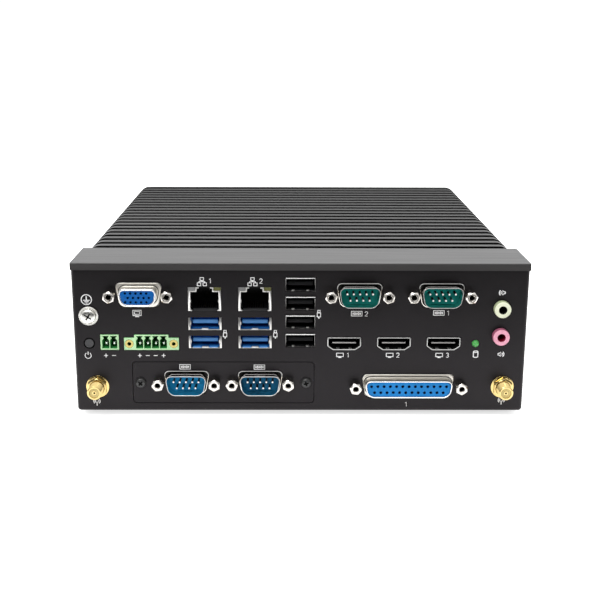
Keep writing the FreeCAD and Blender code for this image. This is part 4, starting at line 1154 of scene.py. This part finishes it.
def make_serial_pins():
    """Round contact pins with domed tips, and painted shade on their bodies behind the tips."""
    low, high = boxes_in("serial_pins")[0]
    model = turned(pin_tip + [(high.y - low.y, pin_tip[-1][1])], pin_segments)
    painted(model, finishes["tinned_pin"], [(steel_shade, behind(pin_shade_depth))])
    pins = set_of(model, axes_in("serial_pins"))
    finished(pins, "round_serial_pins", slot_of("serial_pins"), ["serial_pins"])


# Sockets
def side_spring(x, y, z, side):
    """Upright leaf spring at a mouth's side, bowed towards the middle."""
    half = spring_length / 2
    outer = x + side * spring_thickness
    low = Vector((min(x, outer), y, z - half))
    high = Vector((max(x, outer), y + spring_depth, z + half))
    strip = block(low, high)
    edit(strip)
    bpy.ops.mesh.subdivide(number_cuts=spring_cuts)
    for share in spring_bow_shares:
        pick("VERT", lambda place: abs(place.z - z) < share * half)
        bpy.ops.transform.translate(value=(-side * spring_bow / 2, 0, 0))
    edit_done()
    return strip


def usb_ports(node):
    """Heights of the ports in a USB insert, read from the lowest and highest edges of its mouths."""
    fronts = sorted({round(p.z, 2) for p in solids_in(node)[0] if near(p.y, node_box(node)[0].y)})
    edges = fronts[1:-1]
    return [(low + high) / 2 for low, high in zip(edges[::2], edges[1::2])]


def make_network_stacks():
    """Steel cans with springs in their mouths, a grey sill of painted highlight on each network mouth's
    floor, and USB inserts with a painted highlight on the fronts of their tongues and of small sills.
    """
    tab_size = (usb3_tab_width, spring_depth, usb3_line_height + usb3_tab_height)
    usb3_sill_size = (usb3_sill_width, spring_depth, usb3_sill_height)
    for number in (1, 2):
        shield, insert = f"lan_usb_shield_{number}", f"usb3_insert_{number}"
        x, y = node_middle(shield).x, node_box(shield)[0].y
        ports = usb_ports(insert)
        springs = []
        for side in (-1, 1):
            springs.append(side_spring(x + side * lan_mouth_width / 2, y, lan_spring_height, side))
            springs += [side_spring(x + side * usb_mouth_width / 2, y, z, side) for z in ports]
        floors = [z - usb_mouth_height / 2 for z in ports]
        springs += [bar((x, y, floor - usb3_line_height), tab_size, usb3_tab_ease) for floor in floors]
        softened(shield, can_ease, springs)
        softened(f"lan_insert_{number}", insert_ease)
        # Grey sill on the mouth's floor: a painted highlight on the black insert
        sill = bar((x, y + lan_sill_back, lan_floor), lan_sill_size, lan_sill_ease)
        finished(sill, f"lan_sill_{number}", "black_plastic", finish=sill_highlight_grey)
        front = node_box(insert)[0].y
        tongue_y = min(p.y for p in solids_in(insert)[0] if p.y > front + usb_tongue_front)

        # Painted highlight in paler blue on forward faces in front of the tongue's back, the fronts of the
        # tongues and sills among them
        def usb_tongue_highlight(place, normal):
            return normal.y < -partly_front and place.y < tongue_y + usb_tongue_front

        # Sills on the lowest port's floor, whose fronts take the painted highlight
        sills = bar_pair(x, usb3_sill_place, y, floors[0], usb3_sill_size, usb3_sill_ease)
        softened(insert, insert_ease, sills, others=[(tongue_highlight_blue, usb_tongue_highlight)])


def make_lan_lights():
    """The left light of each network socket is clear and the right one olive."""
    places = boxes_in("lan_lights")
    kinds = ((0, "clear_lan_lights", finishes["light_lens"]), (1, "olive_lan_lights", olive_lens))
    for first, name, finish in kinds:
        lights = []
        for low, high in places[first::2]:
            light = block(low, high)
            dish(light, low.y, lens_edge, lens_dish)
            lights.append(light)
        finished(joined(lights), name, "light_lens", ["lan_lights"], finish=finish)


def make_usb2_stack():
    """Four-high can with turned-out lips in painted shade, strips of painted highlight along their upper
    edges, and two floor springs in each mouth.
    """
    x = node_middle("usb2_shield").x
    edge_y = node_box("usb2_shield")[0].y - usb2_highlight_proud
    edge_size = (usb_mouth_width, face_y - edge_y, usb2_highlight_height)
    spring_size = (usb_spring_width, spring_depth + usb_spring_reach, usb_spring_height)
    spring_y = back_y - usb_spring_reach
    springs, edges = [], []
    for z in usb_ports("usb2_insert"):
        floor = z - usb_mouth_height / 2
        springs += bar_pair(x, usb_spring_place, spring_y, floor, spring_size, usb_spring_ease)
        top = z + usb_mouth_height / 2 + usb2_lip_height
        edges.append(bar((x, edge_y, top - usb2_highlight_height), edge_size, usb2_highlight_ease))

    # Painted shade on the can in front of the panel
    def on_shaded_lip(place, normal):
        return place.y < face_y

    softened("usb2_shield", usb2_lip_ease, springs, others=[(steel_shade, on_shaded_lip)])
    finished(joined(edges), "usb2_lip_highlights", slot_of("usb2_shield"), finish=rim_highlight)
    softened("usb2_insert", insert_ease)


def make_video_sockets():
    """Steel shells with painted shade inside, with two springs on the floor of each."""
    for number in (1, 2, 3):
        node = f"video_shell_{number}"
        low, high = node_box(node)
        x, y, floor = (low.x + high.x) / 2, low.y + video_spring_back, low.z + video_wall
        springs = bar_pair(x, video_spring_place, y, floor, video_spring_size, video_spring_ease)
        # Painted shade on everything behind the shell's front rim
        inside = behind(low.y + video_rim)
        softened(node, video_ease, finish=video_steel, others=[(steel_shade, inside)])
        finished(joined(springs), node + "_springs", slot_of(node))

    # The tongues are black plastic; their forward faces get a painted highlight in grey
    def video_tongue_highlight(place, normal):
        return normal.y < -mostly_front

    softened("video_tongues", video_tongue_ease, finish=black_plastic_and_shade, others=[(tongue_highlight_grey, video_tongue_highlight)])


def make_headers():
    """Terminal headers, with painted shade in deep green inside their pockets."""
    for node in ("dc_header", "switch_header"):
        in_shaded_pocket = behind(node_box(node)[0].y + header_rim)
        softened(node, header_ease, others=[(pocket_shade_green, in_shaded_pocket)])


def make_audio_jacks():
    """Coloured barrels with a turned groove in front, painted shade on their sides and painted shade in
    their bores.
    """
    rim = audio_bore_radius + audio_ease
    # Painted shade: darker colour on the barrels' sides, dark wine in the pink jack's bore and black in the
    # lime one
    jacks = (("audio_jack_in", pink_side_shade, bore_shade_wine), ("audio_jack_out", lime_side_shade, black_plastic_and_shade))
    for node, side_finish, bore_finish in jacks:
        front = node_box(node)[0].y
        low, high = points_box([p for p in solids_in(node)[0] if near(p.y, front)])
        axis = (low + high) / 2

        def in_shaded_bore(place, normal):
            return off_axis(place, axis.x, axis.z) < rim and normal.y > -partly_front

        def on_shaded_side(place, normal):
            return off_axis(place, axis.x, axis.z) > rim and abs(normal.y) < partly_front

        def groove(piece):
            dish(piece, front, audio_groove_edge, audio_groove_depth)

        softened(node, audio_ease, others=[(side_finish, on_shaded_side), (bore_finish, in_shaded_bore)], carve=groove)


def make_power_button():
    """Cap with a shallow dish, and its collar behind the panel in painted shade."""
    low, high = node_box("power_button")
    middle = (low + high) / 2
    collar = back_y - low.y + button_collar_gap
    radius = (high.x - low.x) / 2
    cap_depth, cap_radius = button_cap[-1]
    profile = button_cap + [(collar, cap_radius), (collar, radius), (high.y - low.y, radius)]
    button = turned(profile, fine_segments)
    # Painted shade in black on the collar behind the cap
    painted(button, cap_grey, [(black_plastic_and_shade, behind(cap_depth))])
    moved(button, (middle.x, low.y, middle.z))
    finished(button, "dished_power_button", slot_of("power_button"), ["power_button"], "power_button")


# Signs: lines of points across and up, from the middle of the sign
def arc(x, z, radius, start_deg, end_deg, count=12):
    """Points along an arc, angles counted from the right-hand side upwards."""
    turns = [math.radians(start_deg + (end_deg - start_deg) * i / count) for i in range(count + 1)]
    return [(x + radius * math.cos(turn), z + radius * math.sin(turn)) for turn in turns]


def outline(x, z, width, height):
    """Closed rectangle."""
    left, right, low, high = x - width / 2, x + width / 2, z - height / 2, z + height / 2
    return [(left, low), (right, low), (right, high), (left, high), (left, low)]


def sound_sign(side):
    cone = [(-0.9, 0.4), (-0.35, 0.4), (0.3, 1.0), (0.3, -1.0), (-0.35, -0.4), (-0.9, -0.4), (-0.9, 0.4)]
    lines = [cone, arc(0.3, 0, 0.75, -50, 50, 8), arc(0.3, 0, 1.45, -50, 50, 8)]
    return [[(side * x, z) for x, z in line] for line in lines]


earth_bars = [[(-1.45, -0.3), (1.45, -0.3)], [(-0.95, -0.95), (0.95, -0.95)], [(-0.4, -1.55), (0.4, -1.55)]]
earth_sign = [arc(0, 0, 2.25, 0, 360, 24), [(0, 1.5), (0, -0.3)]] + earth_bars
power_sign = [arc(0, 0, 1.35, 125, 415, 18), [(0, 0.35), (0, 1.75)]]
monitor_sign = [outline(0, 0.2, 3.6, 2.4), outline(0, 0.2, 2.3, 1.2), [(-0.9, -1.5), (0.9, -1.5)]]
network_boxes = [outline(0, 1.15, 1.5, 1.3), outline(-1.25, -1.2, 1.5, 1.3), outline(1.25, -1.2, 1.5, 1.3)]
network_lines = [[(0, 0.5), (0, 0), (-1.25, 0), (-1.25, -0.55)], [(0, 0), (1.25, 0), (1.25, -0.55)]]
network_sign = network_boxes + network_lines
plug_sign = [outline(0, -0.7, 1.5, 1.8), outline(0, 0.85, 1.0, 1.1), [(0, -1.6), (0, -2.4)]]
screen_sign = [outline(0, 0.1, 3.0, 1.6), [(-0.7, -1.1), (0.7, -1.1)]]
minus_sign = [[(-0.85, 0), (0.85, 0)]]
plus_sign = minus_sign + [[(0, -0.85), (0, 0.85)]]
serial_ones = [[(x, -0.5), (x, 0.5)] for x in (-1.6, 0, 1.6)]
serial_noughts = [[(x + 0.3 * u, 0.5 * v) for u, v in arc(0, 0, 1, 0, 360, 10)] for x in (-0.8, 0.8)]
serial_sign = [outline(0, 0, 4.7, 2.1)] + serial_ones + serial_noughts
drive_top = [(x, 1.15 + 0.35 * z) for x, z in arc(0, 0, 1.0, 0, 360, 16)]
drive_foot = [(x, -1.15 + 0.35 * z) for x, z in arc(0, 0, 1.0, 180, 360, 8)]
drive_sign = [drive_top, [(-1.0, 1.15)] + drive_foot + [(1.0, 1.15)]]
antenna_waves = [(side_deg, radius) for side_deg in (0, 180) for radius in (0.75, 1.4)]
antenna_sign = [[(0, -1.4), (0, 0.5)]]
antenna_sign += [arc(0, 0.7, radius, side_deg - 45, side_deg + 45, 8) for side_deg, radius in antenna_waves]


def digit_sign(number):
    one = [[(-0.5, 0.65), (0.1, 1.1), (0.1, -1.1)]]
    two = [arc(0, 0.45, 0.65, 165, -35) + [(-0.65, -1.1), (0.7, -1.1)]]
    three = [arc(0, 0.55, 0.55, 150, -90), arc(0, -0.52, 0.58, 90, -150)]
    return [[(digit_scale * x, digit_scale * z) for x, z in line] for line in (one, two, three)[number - 1]]


def printed(lines, x, z, width=ink_line):
    """Sign of lines, a film of ink at a place counted from the middle of the panel's lower edge."""
    data = bpy.data.curves.new("sign", "CURVE")
    data.dimensions = "3D"
    data.bevel_depth = width / 2
    data.bevel_resolution = 1
    data.use_fill_caps = True
    for points in lines:
        spline = data.splines.new("POLY")
        spline.points.add(len(points) - 1)
        for point, (across, up) in zip(spline.points, points):
            point.co = (across, 0, up, 1)
    only(placed("sign", data))
    bpy.ops.object.convert(target="MESH")
    sign = bpy.context.object
    depths = [vert.co.y for vert in sign.data.vertices]
    sign.scale = (1, 2 * ink_proud / (max(depths) - min(depths)), 1)
    return moved(sign, (x, face_y, panel_foot + z))


def numbered(number, x, z, shift=(0, 0)):
    return printed(digit_sign(number), x + shift[0], z + shift[1], fine_line)


def make_signs():
    signs = [
        printed(earth_sign, -93.6, 51.8),
        printed(power_sign, -94.0, power_row, fine_line),
        printed(monitor_sign, -71.7, 45.6),
        printed(plus_sign, -86.1, power_row, fine_line),
        printed(minus_sign, -82.55, power_row, fine_line),
        printed(drive_sign, 77.8, 27.0),
        printed(sound_sign(-1), 88.6, 55.2),
        printed(sound_sign(1), 88.65, 27.0),
        printed(antenna_sign, -91.1, 4.0),
        printed(antenna_sign, 90.4, 4.6),
        numbered(1, 47.6, 3.3),
    ]
    for pole, sign in enumerate((plus_sign, minus_sign, minus_sign, plus_sign)):
        signs.append(printed(sign, first_pole + pole * pole_pitch, power_row, fine_line))
    for x, z, number in ((-43.05, 60.0, 1), (-21.05, 60.0, 2)):
        signs += [printed(network_sign, x, z), numbered(number, x, z, network_number_shift)]
    for x, z in ((-33.3, 36.5), (-11.15, 36.5), (8.0, 45.7)):
        signs.append(printed(plug_sign, x, z))
    for x, z, number in ((24.6, 45.6, 2), (60.7, 46.0, 1)):
        signs += [printed(serial_sign, x, z), numbered(number, x, z, serial_number_shift)]
    for x, z in ((-51.3, 20.95), (-18.25, 20.8)):
        signs.append(printed(serial_sign, x, z))
    for x, number in ((18.9, 1), (41.0, 2), (63.0, 3)):
        signs.append(printed(screen_sign, x + screen_shift, video_row))
        signs.append(numbered(number, x + screen_number_shift, video_row))
    finished(joined(signs), "printed_signs", "housing_paint", finish=white_ink)


# Studio
def make_floor():
    front = cad_box[0].y - floor_in_front
    bpy.ops.mesh.primitive_plane_add(size=floor_size, location=(0, front + floor_size / 2, 0))
    floor = bpy.context.object
    floor.name = "floor"
    material, tree, shader, place = new_finish("pale floor")
    spread_colour(tree, shader, noise(tree, place, floor_patch), floor_colour, floor_spread)
    glow = (floor_glow, floor_glow, floor_glow, 1)
    feed(shader, {"Roughness": floor_roughness, "Emission Color": glow})
    feed(shader, {"Emission Strength": floor_light(tree, place)})
    floor.data.materials.append(material)


def floor_light(tree, place):
    """Glow that the camera sees everywhere, and that mirrored rays lose away from the panel."""
    rays = added(tree, "LightPath", {})
    edge = -floor_size / 2
    fading = ranged(tree, along(tree, place, "Y"), edge, edge + floor_in_front, 0, floor_mirrored)
    return reckoned(tree, "MULTIPLY_ADD", rays["Is Glossy Ray"], fading, rays["Is Camera Ray"])


def make_sky():
    """Light tent: bright above and behind, dim on the camera's side, plain white as a background."""
    world = bpy.data.worlds.new("studio")
    bpy.context.scene.world = world
    world.use_nodes = True
    tree = world.node_tree
    facing = tree.nodes.new("ShaderNodeVectorMath")
    facing.operation = "DOT_PRODUCT"
    feed(facing, {0: added(tree, "TexCoord", {})["Generated"], 1: Vector(sky_bright_side).normalized()})
    share = facing.outputs["Value"]
    glow = ranged(tree, share, sky_dim_from, sky_bright_from, sky_dim_strength, sky_strength)
    light = tree.nodes["Background"]
    feed(light, {"Color": sky_colour, "Strength": glow})
    backdrop = added(tree, "Background", {"Color": sky_colour, "Strength": backdrop_strength})
    seen = added(tree, "LightPath", {})["Is Camera Ray"]
    kinds = {1: light.outputs["Background"], 2: backdrop["Background"]}
    mix = added(tree, "MixShader", {"Fac": seen, **kinds})
    feed(tree.nodes["World Output"], {"Surface": mix["Shader"]})


def make_softbox(name, place, size, power):
    """Square area light that points at the middle of the object."""
    light = bpy.data.lights.new(name, "AREA")
    light.size = size
    light.energy = power
    box = placed(name, light)
    box.location = place
    middle = (cad_box[0] + cad_box[1]) / 2
    box.rotation_euler = (Vector(place) - middle).to_track_quat("Z", "Y").to_euler()


def make_camera():
    data = bpy.data.cameras.new("camera")
    data.lens = camera_lens
    data.sensor_width = sensor_width
    camera = placed("camera", data)
    panel_low, panel_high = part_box("front_panel")
    camera.location = Vector((0, panel_low.y, panel_low.z)) + Vector(camera_place) * mm
    pitch = Matrix.Rotation(math.radians(90 - camera_pitch_deg), 3, "X")
    yaw = Matrix.Rotation(math.radians(-camera_yaw_deg), 3, "Z")
    roll = Matrix.Rotation(math.radians(camera_roll_deg), 3, "Z")
    camera.rotation_euler = (yaw @ pitch @ roll).to_euler()
    bpy.context.scene.camera = camera


dress_solids()
make_shells()
make_jackscrews()
make_screws("pan_screws", "cross_pan_screws", pan_head)
make_screws("housing_screws", "cross_housing_screws", flat_head)
make_ground_screw()
make_antenna_jacks()
make_serial_pins()
make_network_stacks()
make_lan_lights()
make_usb2_stack()
make_video_sockets()
make_headers()
make_audio_jacks()
make_power_button()
softened("antenna_fasteners", antenna_fastener_ease)
make_signs()
make_floor()
make_sky()
for softbox in softboxes:
    make_softbox(*softbox)
make_camera()
bpy.context.scene.view_settings.view_transform = "Standard"
